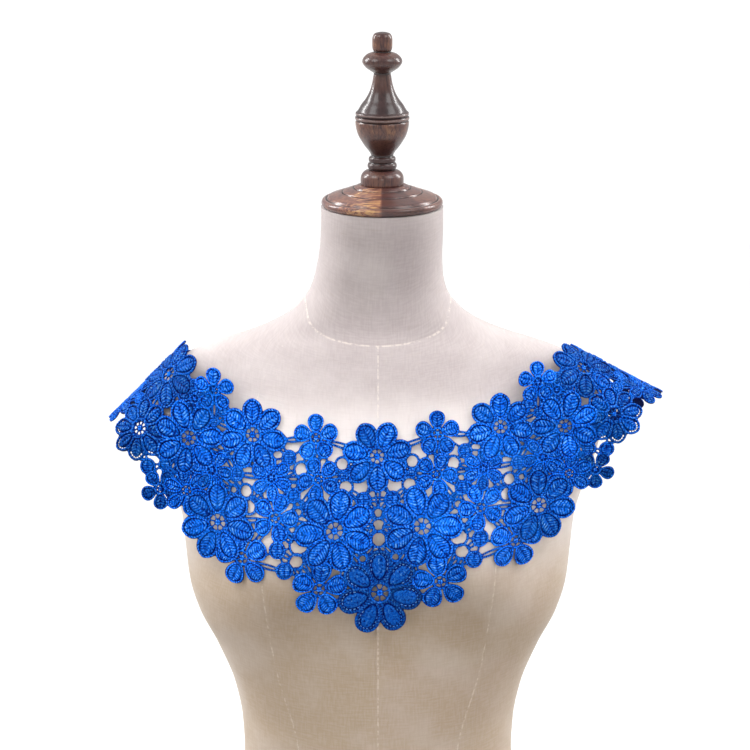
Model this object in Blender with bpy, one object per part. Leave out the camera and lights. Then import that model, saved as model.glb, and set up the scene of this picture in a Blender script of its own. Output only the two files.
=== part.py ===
"""Royal-blue guipure lace collar worn by a limbless linen dress form with a turned wooden cap and finial.

Lengths are in millimetres until the meshes are made, which is done in metres. +Z is up, the chest
faces -Y, and the origin is the middle of the form's flat underside.
"""

import math
from collections import defaultdict, namedtuple

import bpy
import numpy as np
from mathutils.geometry import delaunay_2d_cdt

METRES = 0.001

# ---------------------------------------------------------------- the dress form
# One row per level: height, half width, depth in front and behind of the widest line,
# where that line lies, and the roundness power of the section.
Level = namedtuple("Level", "height half_width front back middle power")
FORM_LEVELS = [
    Level(0, 160, 106, 112, 0, 2.25),
    Level(50, 165, 108, 118, 0, 2.25),
    Level(105, 158, 102, 112, 0, 2.2),
    Level(165, 140, 94, 100, 0, 2.15),
    Level(210, 125, 86, 88, 0, 2.1),
    Level(243, 120, 82, 80, 0, 2.1),
    Level(270, 121.5, 82, 80, 0, 2.1),
    Level(302, 128, 84, 82, 0, 2.15),
    Level(340, 143.5, 88, 86, 0, 2.2),
    Level(371, 159.5, 91, 90, 0, 2.25),
    Level(398, 167.5, 93, 93, 0, 2.25),
    Level(425, 170.5, 93, 96, 0, 2.25),
    Level(453, 173.5, 92, 98, 0, 2.2),
    Level(484, 182.5, 89, 99, 0, 2.15),
    Level(520, 195, 83, 96, 0, 2.1),
    Level(550, 200, 74, 87, 0, 2.0),
    Level(565, 197, 68, 80, 0, 1.9),
    Level(580, 188, 62, 72, 0, 1.82),
    Level(592, 176, 57, 66, 0, 1.76),
    Level(602, 162, 54, 62, 1, 1.74),
    Level(610, 141, 51, 60, 2, 1.76),
    Level(617, 117, 49, 58, 3, 1.82),
    Level(624, 98, 48, 55, 3, 1.9),
    Level(632, 82, 48, 52, 3, 2.0),
    Level(642, 69.5, 48, 50, 2, 2.0),
    Level(655, 60, 48, 48, 0, 2.0),
    Level(672, 55.5, 49, 47, -3, 2.0),
    Level(695, 53.4, 50, 48, -7, 2.0),
    Level(728, 53, 51, 50, -12, 2.0),
]
BUST_APART = 86.0  # each apex from the middle
BUST_HEIGHT = 428.0
BUST_SWELL = 34.0
BUST_SIDE, BUST_ABOVE, BUST_BELOW = 48.0, 82.0, 52.0
FORM_COLUMNS = 48
FORM_STEPS = (0, 50, 105, 165, 210, 243, 270, 302, 336, 362, 384, 405, 424, 443, 463, 485, 508, 530,
              550, 565, 578, 590, 600, 608, 615, 622, 630, 640, 655, 680, 704, 728)
NECK_TOP = 728.0
NECK_TILT = math.radians(8.0)  # the neck's top and all the wood lean towards the chest
NECK_TILT_FROM, NECK_TILT_TO = 645.0, 715.0
NECK_LEAN = 3.6  # the neck's top stands this far to +X
SEAM_GAP = 0.3

# ---------------------------------------------------------------- the turned wood
# Radius and height of each turned profile, along the neck's tilted axis, from the neck's top.
CAP_PROFILE = [
    (0, 0), (50.6, 0), (52.2, 1.4), (52.4, 3.6), (52.0, 5.6), (50.4, 7.0), (43.4, 10.0),
    (42.6, 9.2), (41.8, 10.4), (27.6, 15.9), (26.8, 15.0), (26.0, 16.4), (20.6, 18.2),
    (19.6, 18.8), (0, 18.8),
]
FINIAL_PROFILE = [
    (0, 19.1), (18.2, 19.1), (18.6, 19.9), (18.6, 25.0), (17.8, 27.6), (15.4, 30.4), (12.2, 31.8),
    (10.9, 32.3), (12.2, 33.4), (12.7, 35.4), (12.1, 37.4), (10.8, 38.3), (11.4, 39.2), (11.7, 41.0),
    (11.2, 42.8), (9.6, 43.8), (10.6, 46.8), (14.9, 52.4), (18.2, 57.4), (20.8, 62.2), (22.6, 68.4),
    (23.1, 73.6), (22.2, 74.6), (23.3, 75.9), (23.3, 77.6), (22.0, 78.6), (23.0, 79.8), (22.8, 81.4),
    (21.4, 82.6), (18.0, 88.2), (14.2, 93.2), (11.0, 99.2), (9.0, 105.4), (7.7, 112.6), (7.4, 115.2),
    (9.6, 117.0), (14.2, 120.4), (16.2, 124.2), (15.4, 126.0), (16.1, 128.0), (13.8, 131.2),
    (8.6, 133.0), (7.2, 133.4), (8.3, 135.2), (8.7, 140.4), (8.4, 145.6), (6.6, 148.6), (3.0, 149.8),
    (0, 149.9),
]
WOOD_SIDES = 20

# ---------------------------------------------------------------- how the flat collar is laid
# Flat places are (across, up): across is from the collar's own middle line and up is height when worn.
PIVOT_UP = 480.0
SWAY = -0.02  # the top leans this much to -X for each mm of height
RISE = 0.045  # the collar climbs this much for each mm towards +X
RISE_EASE, RISE_EASE_FROM, RISE_EASE_TO = 0.0003, 495.0, 600.0
LAID_Y = -56.0  # the plane that the arms' fronts hang in
CROWN, CROWN_REACH = 54.0, 140.0  # how far the middle stands forward of that plane
CROWN_TOP, CROWN_FROM, CROWN_TO = 0.25, 430.0, 550.0  # the share left at the neck edge
FOLD_RADIUS = 50.0
# Where each arm folds over its shoulder: side, slope of the fold, a place on it.
Fold = namedtuple("Fold", "side slope across up")
FOLDS = [Fold(-1, math.radians(44.0), -167.0, 607.0), Fold(1, math.radians(26.0), 164.0, 605.0)]
CELL = 8.0
GRID_ACROSS, GRID_LOW, GRID_HIGH = 304.0, 352.0, 704.0
REST_GAP = 2.0  # the collar's underside stays this far off the form
SETTLE_ROUNDS, SETTLE_PULL = 600, 0.02

# ---------------------------------------------------------------- the lace motifs
# The worn left half of the flat pattern; those off the middle line are mirrored.
Flower = namedtuple("Flower", "across up radius petals turn")
FLOWERS = [
    Flower(0.0, 521.0, 30.0, 7, -90),
    Flower(0.0, 408.5, 36.0, 7, 90),
    Flower(37.0, 462.5, 34.5, 7, 0),
    Flower(105.5, 541.0, 29.5, 7, 90),
    Flower(137.0, 470.0, 33.0, 7, 90),
    Flower(161.0, 538.0, 30.5, 7, 75),
    Flower(204.0, 545.5, 26.5, 8, -82),
    Flower(181.5, 590.5, 30.0, 7, 60),
    Flower(49.5, 505.0, 17.5, 5, 68),
    Flower(89.5, 507.5, 17.5, 6, 25),
    Flower(86.5, 476.5, 19.0, 5, 39),
    Flower(116.0, 443.0, 23.0, 5, 8),
    Flower(51.0, 415.5, 23.0, 5, 28),
    Flower(141.5, 512.0, 18.0, 6, 10),
    Flower(164.0, 495.0, 20.0, 6, 20),
    Flower(51.5, 538.0, 18.5, 5, 90),
    Flower(137.5, 576.5, 16.5, 5, 92),
    Flower(187.0, 496.5, 16.5, 5, -90),
    Flower(154.0, 569.0, 15.0, 5, 160),
    Flower(237.5, 576.0, 19.0, 6, 40),
    Flower(224.5, 626.0, 29.0, 7, 55),
    Flower(267.0, 628.5, 19.0, 5, 20),
    Flower(246.5, 664.5, 20.0, 6, 75),
    Flower(282.0, 656.5, 15.0, 5, 40),
    Flower(260.0, 600.5, 14.5, 5, 75),
]
Dot = namedtuple("Dot", "across up radius")
DOTS = [
    Dot(12.2, 485.5, 7.0),
    Dot(74.4, 523.0, 6.4),
    Dot(70.9, 493.6, 6.2),
    Dot(119.4, 509.7, 6.2),
    Dot(85.1, 451.5, 7.2),
    Dot(79.3, 434.5, 7.4),
    Dot(130.6, 560.3, 6.0),
    Dot(182.0, 516.5, 6.0),
    Dot(193.0, 629.0, 7.0),
    Dot(218.5, 588.5, 7.0),
    Dot(240.5, 601.0, 5.5),
    Dot(211.0, 573.0, 5.5),
]
# Open rings of cord in the wider gaps.
Ring = namedtuple("Ring", "across up radius")
RINGS = [
    Ring(0.0, 474.6, 4.6),
    Ring(0.0, 465.0, 5.4),
    Ring(0.0, 453.0, 6.4),
    Ring(66.6, 454.4, 8.0),
    Ring(69.4, 441.4, 6.2),
    Ring(109.0, 484.5, 6.0),
    Ring(111.5, 496.5, 5.6),
    Ring(64.0, 513.5, 6.0),
    Ring(28.0, 498.5, 6.4),
    Ring(29.5, 514.5, 6.0),
]
PETAL_FROM, PETAL_WIDTH, PETAL_SWELL = 0.20, 0.262, 0.30  # shares of a flower's radius
FIVE_PETAL_WIDTH = 0.315
HUB_SHARE = 0.27
CORD_HALF_WIDTH = 0.9
BRIDE_REACH = 9.0  # the widest gap between two motifs that a cord spans
BRIDE_CLEAR = 0.85  # it stays this share of a third motif's radius away from that motif's middle
WALL = 1.3  # the lace between its raised petals
PETAL_RISE = 1.2
SMALLEST_HOLE = 4.0
OUTLINE_CELL = 1.0
OUTLINE_CLOSE = 0.42  # how near the drawn outline keeps to the true one


def monotone(rows, values, at):
    """Smooth curve through the rows that never overshoots them."""
    rows, values = np.asarray(rows, float), np.asarray(values, float)
    step = np.diff(rows)
    slope = np.diff(values) / step
    tangent = np.zeros_like(values)
    before, after = 2 * step[1:] + step[:-1], step[1:] + 2 * step[:-1]
    same = slope[:-1] * slope[1:] > 0
    tangent[1:-1][same] = (before + after)[same] / (
        before[same] / slope[:-1][same] + after[same] / slope[1:][same])
    tangent[0] = slope[0]
    at = np.clip(at, rows[0], rows[-1])
    i = np.clip(np.searchsorted(rows, at, side="right") - 1, 0, len(rows) - 2)
    t = (at - rows[i]) / step[i]
    return ((1 + 2 * t) * (1 - t) ** 2 * values[i] + t * (1 - t) ** 2 * step[i] * tangent[i]
            + t * t * (3 - 2 * t) * values[i + 1] + t * t * (t - 1) * step[i] * tangent[i + 1])


def form_section(z):
    """Half width, front, back, middle and power of the form's section at height z."""
    heights = [level.height for level in FORM_LEVELS]
    return [monotone(heights, [level[k] for level in FORM_LEVELS], z) for k in range(1, 6)]


def bust_swell(x, z):
    """How far the two busts stand out of the plain section."""
    up = np.where(z > BUST_HEIGHT, (z - BUST_HEIGHT) / BUST_ABOVE, (z - BUST_HEIGHT) / BUST_BELOW)
    out = (np.abs(x) - BUST_APART) / BUST_SIDE
    return BUST_SWELL * np.exp(-out * out - up * up)


def form_front_and_back(x, z):
    """The form's front and back Y at (x, z), or nan beside it."""
    half, front, back, middle, power = form_section(z)
    share = np.abs(x) / half
    inside = np.minimum(share, 1)
    depth = np.where(share < 1, np.maximum(1 - inside ** power, 0) ** (1 / power), np.nan)
    return middle - front * depth - bust_swell(x, z) * (1 - inside ** 6), middle + back * depth


def in_form(points):
    x, y, z = points[..., 0], points[..., 1], points[..., 2]
    front, back = form_front_and_back(x, z)
    return (y > front) & (y < back) & (z > 0) & (z < NECK_TOP)


def laid(flat):
    """Flat places after the collar has been turned a little on the form."""
    across, up = flat[..., 0], flat[..., 1]
    rise = RISE - RISE_EASE * (np.minimum(up, RISE_EASE_TO) - RISE_EASE_FROM)
    return np.stack([across + SWAY * (up - PIVOT_UP), up + rise * across], -1)


def folded(flat):
    """Place and outward direction of the collar before it settles: a plane whose arms fold back."""
    spot = laid(np.asarray(flat, float))
    place = np.stack([spot[..., 0], np.full(spot.shape[:-1], LAID_Y), spot[..., 1]], -1)
    out = np.zeros_like(place)
    out[..., 1] = -1
    for fold in FOLDS:
        away = np.array([fold.side * math.sin(fold.slope), math.cos(fold.slope)])
        start = away @ np.array([fold.across, fold.up]) - FOLD_RADIUS
        over = np.maximum(spot @ away - start, 0)
        over = np.where(spot[..., 0] * fold.side > 0, over, 0)
        angle = np.minimum(over / FOLD_RADIUS, math.pi)
        down = np.maximum(over - math.pi * FOLD_RADIUS, 0)
        moved = FOLD_RADIUS * np.sin(angle) - down - over
        place[..., 0] += away[0] * moved
        place[..., 2] += away[1] * moved
        place[..., 1] += FOLD_RADIUS * (1 - np.cos(angle))
        turned = angle > 0
        out[..., 0] = np.where(turned, away[0] * np.sin(angle), out[..., 0])
        out[..., 2] = np.where(turned, away[1] * np.sin(angle), out[..., 2])
        out[..., 1] = np.where(turned, -np.cos(angle), out[..., 1])
    return place, out


class Drape:
    """The settled collar: how far each flat place is lifted off the folded plane by the form."""

    def __init__(self):
        self.across = np.arange(-GRID_ACROSS, GRID_ACROSS + 0.1, CELL)
        self.up = np.arange(GRID_LOW, GRID_HIGH + 0.1, CELL)
        across, up = np.meshgrid(self.across, self.up, indexing="ij")
        place, out = folded(np.stack([across, up], -1))
        touch = np.full(across.shape, -1000.0)
        for lift in range(-40, 95):
            touch = np.where(in_form(place + lift * out), lift + 1.0 + REST_GAP, touch)
        high = np.clip((up - CROWN_FROM) / (CROWN_TO - CROWN_FROM), 0, 1)
        rest = CROWN * np.exp(-(np.abs(across) / CROWN_REACH) ** 4) * (1 - (1 - CROWN_TOP) * high)
        lift = np.maximum(touch, rest)
        for _ in range(SETTLE_ROUNDS):
            lift = np.maximum(touch, (1 - SETTLE_PULL) * self.around(lift) + SETTLE_PULL * rest)
        self.lift = 0.5 * lift + 0.5 * self.around(lift)

    @staticmethod
    def around(grid):
        wide = np.pad(grid, 1, mode="edge")
        return (wide[2:, 1:-1] + wide[:-2, 1:-1] + wide[1:-1, 2:] + wide[1:-1, :-2]) / 4

    def lift_at(self, flat):
        """Smooth reading of the lift grid."""
        total = 0.0
        spots = []
        for k, line in ((0, self.across), (1, self.up)):
            t = np.clip((flat[..., k] - line[0]) / CELL, 1.001, len(line) - 2.001)
            i = t.astype(int)
            f = t - i
            spots.append((i, [(1 - f) ** 3 / 6, (3 * f ** 3 - 6 * f ** 2 + 4) / 6,
                              (-3 * f ** 3 + 3 * f ** 2 + 3 * f + 1) / 6, f ** 3 / 6]))
        (i, wi), (j, wj) = spots
        for a in range(4):
            for b in range(4):
                total = total + wi[a] * wj[b] * self.lift[i + a - 1, j + b - 1]
        return total

    def at(self, flat, height):
        """Worn places (mm) of flat places, at a height off the collar's underside."""
        flat = np.asarray(flat, float)
        place, out = folded(flat)
        return place + out * (self.lift_at(flat) + height)[..., None]


def both_sides(table):
    """The half pattern and its mirror image."""
    rows = []
    for row in table:
        rows.append(row)
        if row.across:
            twin = row._replace(across=-row.across)
            rows.append(twin._replace(turn=180 - row.turn) if hasattr(row, "turn") else twin)
    return rows


def petal_width(flower):
    return flower.radius * (FIVE_PETAL_WIDTH if flower.petals == 5 else PETAL_WIDTH)


def petals_of(flower):
    """Middle and direction of each petal."""
    reach = flower.radius * (1 + PETAL_FROM) / 2
    for k in range(flower.petals):
        angle = math.radians(flower.turn + 360 * k / flower.petals)
        way = np.array([math.cos(angle), math.sin(angle)])
        yield np.array([flower.across, flower.up]) + reach * way, way


def egg(flat, middle, way, half_length, half_width):
    """Rough distance outside an egg-shaped petal that is wider towards its tip."""
    off = flat - middle
    along = off @ way / half_length
    aside = off @ np.array([-way[1], way[0]])
    wide = half_width * (1 + PETAL_SWELL * np.clip(along, -1, 1))
    reach = np.sqrt(along ** 2 + (aside / wide) ** 2)
    return (reach - 1) * np.minimum(half_length, half_width)


def bar(flat, start, end):
    """Distance outside a straight cord."""
    line = end - start
    t = np.clip(((flat - start) @ line) / (line @ line), 0, 1)
    return np.linalg.norm(flat - start - t[..., None] * line, axis=-1) - CORD_HALF_WIDTH


def brides():
    """The straight cords that tie each motif to its near neighbours, past no third motif."""
    motifs = both_sides(FLOWERS) + both_sides(DOTS) + both_sides(RINGS)
    middles = np.array([(m.across, m.up) for m in motifs])
    radii = np.array([m.radius for m in motifs])
    found = []
    for i, a in enumerate(motifs):
        for j in range(i + 1, len(motifs)):
            if np.hypot(*(middles[i] - middles[j])) - radii[i] - radii[j] >= BRIDE_REACH:
                continue
            start, end = bride_ends(a, motifs[j])
            room = bar(middles, start, end) - BRIDE_CLEAR * radii
            room[[i, j]] = 1
            if room.min() > 0:
                found.append((start, end))
    return found


def bride_ends(a, b):
    """A bride runs between the rims of two motifs, a little way into each."""
    start, end = np.array([a.across, a.up]), np.array([b.across, b.up])
    way = (end - start) / np.linalg.norm(end - start)
    into = 0.55
    inner = [m.radius - 0.5 * CORD_HALF_WIDTH if isinstance(m, Ring) else m.radius * into for m in (a, b)]
    return start + way * inner[0], end - way * inner[1]


class Outline:
    """The flat lace as one field: below nought inside the cloth."""

    def __init__(self):
        self.across = np.arange(-GRID_ACROSS, GRID_ACROSS + 0.1, OUTLINE_CELL)
        self.up = np.arange(GRID_LOW, GRID_HIGH + 0.1, OUTLINE_CELL)
        self.flat = np.stack(np.meshgrid(self.across, self.up, indexing="ij"), -1)
        self.field = np.full(self.flat.shape[:2], 9.0)
        for flower in both_sides(FLOWERS):
            half_length = flower.radius * (1 - PETAL_FROM) / 2
            for middle, way in petals_of(flower):
                self.join(middle, half_length + 4, egg, middle, way, half_length, petal_width(flower))
            self.join((flower.across, flower.up), flower.radius * 0.5, self.disc,
                      flower.across, flower.up, flower.radius * HUB_SHARE)
        for dot in both_sides(DOTS):
            self.join((dot.across, dot.up), dot.radius + 4, self.disc, dot.across, dot.up, dot.radius)
        for ring in both_sides(RINGS):
            self.join((ring.across, ring.up), ring.radius + 4, self.hoop, ring.across, ring.up, ring.radius)
        for start, end in brides():
            self.join((start + end) / 2, np.linalg.norm(end - start) / 2 + 4, bar, start, end)

    @staticmethod
    def disc(flat, across, up, radius):
        return np.hypot(flat[..., 0] - across, flat[..., 1] - up) - radius

    @staticmethod
    def hoop(flat, across, up, radius):
        return np.abs(np.hypot(flat[..., 0] - across, flat[..., 1] - up) - radius) - CORD_HALF_WIDTH

    def join(self, centre, reach, shape, *sizes):
        """Lays one shape into the field, in the window that it reaches."""
        window = []
        for k, line in ((0, self.across), (1, self.up)):
            low = max(int((centre[k] - reach - line[0]) / OUTLINE_CELL), 0)
            high = min(int((centre[k] + reach - line[0]) / OUTLINE_CELL) + 2, len(line))
            window.append(slice(low, high))
        part = tuple(window)
        self.field[part] = np.minimum(self.field[part], shape(self.flat[part], *sizes))

    def loops(self):
        """Closed outlines of the cloth, by walking the field's cells."""
        field = np.where(np.abs(self.field) < 1e-6, 1e-6, self.field)
        inside = field < 0
        code = (inside[:-1, :-1] * 1 + inside[1:, :-1] * 2 + inside[1:, 1:] * 4 + inside[:-1, 1:] * 8)
        ends = {1: [(3, 0)], 2: [(0, 1)], 3: [(3, 1)], 4: [(1, 2)], 6: [(0, 2)], 7: [(3, 2)], 8: [(2, 3)],
                9: [(2, 0)], 11: [(2, 1)], 12: [(1, 3)], 13: [(1, 0)], 14: [(0, 3)],
                5: [(3, 0), (1, 2)], 10: [(0, 1), (2, 3)]}
        follows, spots = {}, {}
        for i, j in zip(*np.nonzero((code > 0) & (code < 15))):
            sides = (((i, j), (i + 1, j)), ((i + 1, j), (i + 1, j + 1)),
                     ((i, j + 1), (i + 1, j + 1)), ((i, j), (i, j + 1)))
            for first, last in ends[int(code[i, j])]:
                keys = []
                for side in (first, last):
                    a, b = sides[side]
                    if (a, b) not in spots:
                        t = field[a] / (field[a] - field[b])
                        spots[(a, b)] = self.flat[a] * (1 - t) + self.flat[b] * t
                    keys.append((a, b))
                follows[keys[0]] = keys[1]
        loops = []
        while follows:
            start, _ = next(iter(follows.items()))
            loop, here = [], start
            while here in follows:
                loop.append(spots[here])
                here = follows.pop(here)
            loops.append(np.array(loop))
        return loops


def thinned(points, close):
    """The fewest of a line's points that keep it within a distance of them all."""
    keep = {0, len(points) - 1}
    waiting = [(0, len(points) - 1)]
    while waiting:
        first, last = waiting.pop()
        if last - first < 2:
            continue
        line = points[last] - points[first]
        off = points[first + 1:last] - points[first]
        length = np.hypot(*line)
        gap = np.abs(off[:, 0] * line[1] - off[:, 1] * line[0]) / length if length > 1e-9 else np.hypot(*off.T)
        worst = int(np.argmax(gap))
        if gap[worst] > close:
            middle = first + 1 + worst
            keep.add(middle)
            waiting += [(first, middle), (middle, last)]
    return points[sorted(keep)]


def area_of(loop):
    x, y = loop[:, 0], loop[:, 1]
    return 0.5 * float(np.sum(x * np.roll(y, -1) - np.roll(x, -1) * y))


def simple_loops():
    """The outer outline and each gap wide enough to be cut through."""
    kept = []
    for loop in Outline().loops():
        area = area_of(loop)
        perimeter = float(np.sum(np.hypot(*(loop - np.roll(loop, -1, axis=0)).T)))
        narrow = 4 * abs(area) / perimeter  # a round hole's diameter
        if len(loop) < 8 or (min(abs(area), 1e4) < 1e4 and narrow < SMALLEST_HOLE):
            continue
        turned = np.roll(loop, -int(np.argmax(loop[:, 1])), axis=0)
        half = len(turned) // 2
        one = thinned(turned[:half + 1], OUTLINE_CLOSE)
        two = thinned(np.vstack([turned[half:], turned[:1]]), OUTLINE_CLOSE)
        kept.append(np.vstack([one[:-1], two[:-1]]))
    outer = max(kept, key=lambda loop: abs(area_of(loop)))
    sign = np.sign(area_of(outer))
    return [outer] + [loop for loop in kept if loop is not outer and np.sign(area_of(loop)) != sign]


def within(points, loops):
    """Whether each point is in the cloth, by counting the edges beside it."""
    crossed = np.zeros(len(points), int)
    for loop in loops:
        a, b = loop, np.roll(loop, -1, axis=0)
        for (ax, ay), (bx, by) in zip(a, b):
            spans = (ay > points[:, 1]) != (by > points[:, 1])
            if spans.any():
                x = ax + (points[:, 1] - ay) / (by - ay) * (bx - ax)
                crossed += spans & (points[:, 0] < x)
    return crossed % 2 == 1


def crests():
    """Raised points along each petal, and on each hub and dot, with their heights."""
    rows = []
    for flower in both_sides(FLOWERS):
        rows.append((flower.across, flower.up, WALL * 0.9))
        half_length = flower.radius * (1 - PETAL_FROM) / 2
        for middle, way in petals_of(flower):
            share = (-0.15, 0.42) if flower.radius > 24 else (0.18,)
            rows += [(*(middle + way * half_length * s), WALL + PETAL_RISE) for s in share]
    rows += [(dot.across, dot.up, WALL + PETAL_RISE) for dot in both_sides(DOTS)]
    return np.array(rows)


def lace_shell(drape):
    """Closed wall of cloth: flat triangles, raised on top, plain below, then laid on the form."""
    loops = simple_loops()
    tops = crests()
    rim = np.vstack(loops)
    clear = np.array([np.min(np.hypot(*(rim - top[:2]).T)) for top in tops]) > 1.5
    tops = tops[clear & within(tops[:, :2], loops)]
    flat = np.vstack([rim, tops[:, :2]])
    edges, first = [], 0
    for loop in loops:
        edges += [(first + k, first + (k + 1) % len(loop)) for k in range(len(loop))]
        first += len(loop)
    verts, _, faces, origins, _, _ = delaunay_2d_cdt([tuple(p) for p in flat], edges, [], 0, 1e-4)
    verts = np.array([tuple(v) for v in verts])
    faces = np.array([tuple(face) for face in faces])
    faces = faces[within(verts[faces].mean(axis=1), loops)]
    faces = one_fan_each(faces)
    height = np.full(len(verts), WALL)
    for k, source in enumerate(origins):
        if source and source[0] >= len(rim):
            height[k] = tops[source[0] - len(rim), 2]
    used, faces = np.unique(faces, return_inverse=True)
    faces = faces.reshape(-1, 3)
    verts, height = verts[used], height[used]
    a, b, c = (verts[faces[:, k]] for k in range(3))
    turned = (b[:, 0] - a[:, 0]) * (c[:, 1] - a[:, 1]) - (b[:, 1] - a[:, 1]) * (c[:, 0] - a[:, 0]) < 0
    faces[turned] = faces[turned][:, ::-1]
    top, under = drape.at(verts, height), drape.at(verts, np.zeros(len(verts)))
    count = len(verts)
    ends = np.concatenate([faces[:, [0, 1]], faces[:, [1, 2]], faces[:, [2, 0]]])
    there = {tuple(end) for end in ends}
    border = [end for end in there if (end[1], end[0]) not in there]
    border.sort()
    sides = [(b, a, a + count) for a, b in border] + [(b, a + count, b + count) for a, b in border]
    whole = [tuple(int(v) for v in face) for face in faces]
    whole += [tuple(int(v) + count for v in face[::-1]) for face in faces]
    whole += [tuple(int(v) for v in side) for side in sides]
    return np.vstack([top, under]), whole


def one_fan_each(faces):
    """Drops the smaller fan where two fans of triangles meet at one point only, and any loose scrap."""
    while True:
        around = defaultdict(list)
        for k, face in enumerate(faces):
            for v in face:
                around[int(v)].append(k)
        drop = set()
        for v, members in around.items():
            fans = joined(members, faces, v)
            for fan in sorted(fans, key=len)[:-1]:
                drop.update(fan)
        if not drop:
            break
        faces = np.delete(faces, sorted(drop), axis=0)
    groups = joined(range(len(faces)), faces, None)
    return faces[sorted(max(groups, key=len))]


def joined(members, faces, pivot):
    """Groups of triangles that share edges, only edges at the pivot if one is given."""
    by_edge = defaultdict(list)
    for k in members:
        a, b, c = (int(v) for v in faces[k])
        for edge in ((a, b), (b, c), (c, a)):
            if pivot is None or pivot in edge:
                by_edge[tuple(sorted(edge))].append(k)
    links = defaultdict(set)
    for sharing in by_edge.values():
        for k in sharing:
            links[k].update(sharing)
    groups, seen = [], set()
    for k in members:
        if k in seen:
            continue
        group, waiting = set(), [k]
        while waiting:
            here = waiting.pop()
            if here not in group:
                group.add(here)
                waiting += links[here] - group
        seen |= group
        groups.append(group)
    return groups


def make_object(name, points, faces, material, smooth=True):
    """One named object from millimetre points."""
    mesh = bpy.data.meshes.new(name)
    mesh.from_pydata([tuple(float(v) * METRES for v in p) for p in points], [], faces)
    mesh.validate()
    for polygon in mesh.polygons:
        polygon.use_smooth = smooth
    mesh.materials.append(material)
    made = bpy.data.objects.new(name, mesh)
    bpy.context.scene.collection.objects.link(made)
    return made


def material(name, colour, roughness, metallic=0.0):
    made = bpy.data.materials.new(name)
    made.use_nodes = True
    shader = made.node_tree.nodes["Principled BSDF"]
    shader.inputs["Base Color"].default_value = (*colour, 1.0)
    shader.inputs["Roughness"].default_value = roughness
    shader.inputs["Metallic"].default_value = metallic
    made.diffuse_color = (*colour, 1.0)
    return made


def ring_faces(rows, columns):
    """Triangles between stacked rings, then a fan over each end; the fans' middles come last."""
    faces = []
    for row in range(rows - 1):
        for k in range(columns):
            a, b = row * columns + k, row * columns + (k + 1) % columns
            faces += [(a, b, b + columns), (a, b + columns, a + columns)]
    low, high, last = rows * columns, rows * columns + 1, (rows - 1) * columns
    for k in range(columns):
        faces += [(low, (k + 1) % columns, k), (high, last + k, last + (k + 1) % columns)]
    return faces


def tilt_share(z):
    t = np.clip((z - NECK_TILT_FROM) / (NECK_TILT_TO - NECK_TILT_FROM), 0, 1)
    return t * t * (3 - 2 * t)


def form_torso():
    """The linen-covered body: stacked sections, swelled at the busts, with the neck's top tilted."""
    points = []
    for z in FORM_STEPS:
        half, front, back, middle, power = (float(v) for v in form_section(float(z)))
        for k in range(FORM_COLUMNS):
            angle = 2 * math.pi * k / FORM_COLUMNS
            c, s = math.cos(angle), math.sin(angle)
            x = half * math.copysign(abs(c) ** (2 / power), c)
            y = middle + (back if s > 0 else front) * math.copysign(abs(s) ** (2 / power), s)
            if s < 0:
                y -= float(bust_swell(x, z)) * (1 - (abs(x) / half) ** 6)
            share = float(tilt_share(z))
            points.append((x + NECK_LEAN * share, y, z + (y - middle) * math.tan(NECK_TILT) * share))
    top = float(form_section(NECK_TOP)[3])
    points += [(0, 0, 0), (NECK_LEAN, top, NECK_TOP)]
    return points, ring_faces(len(FORM_STEPS), FORM_COLUMNS)


def turned(profile):
    """A turned piece standing on the neck's tilted top."""
    middle = float(form_section(NECK_TOP)[3])
    rings = profile[1:-1]
    local = [(r * math.cos(2 * math.pi * k / WOOD_SIDES), r * math.sin(2 * math.pi * k / WOOD_SIDES), h)
             for r, h in rings for k in range(WOOD_SIDES)]
    local += [(0, 0, profile[0][1]), (0, 0, profile[-1][1])]
    c, s = math.cos(NECK_TILT), math.sin(NECK_TILT)
    points = [(x + NECK_LEAN, middle + y * c - (h + SEAM_GAP) * s, NECK_TOP + y * s + (h + SEAM_GAP) * c)
              for x, y, h in local]
    return points, ring_faces(len(rings), WOOD_SIDES)


def main():
    for old in list(bpy.data.objects):
        bpy.data.objects.remove(old, do_unlink=True)
    linen = material("linen", (0.78, 0.72, 0.66), 0.85)
    dark_wood = material("turned_wood", (0.13, 0.055, 0.04), 0.35)
    blue_thread = material("blue_thread", (0.004, 0.075, 0.66), 0.6)
    make_object("form_torso", *form_torso(), linen)
    make_object("neck_cap", *turned(CAP_PROFILE), dark_wood)
    make_object("finial", *turned(FINIAL_PROFILE), dark_wood)
    make_object("lace_collar", *lace_shell(Drape()), blue_thread, smooth=False)


main()
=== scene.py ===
"""Looks of a royal-blue guipure lace collar that lies on a limbless linen dress form.

Lengths are millimetres until the meshes are made, which is done in metres. +Z is up, the chest
faces -Y, and the origin is the middle of the form's flat underside. "Across" and "up" are places
on the flat collar before it is laid on the form.
"""

import logging
import math
from dataclasses import dataclass, field, replace
from enum import Enum
from typing import Any, Callable, Iterator, NamedTuple, Optional, Sequence

import bpy
import numpy as np
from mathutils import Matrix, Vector
from mathutils.geometry import delaunay_2d_cdt


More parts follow.
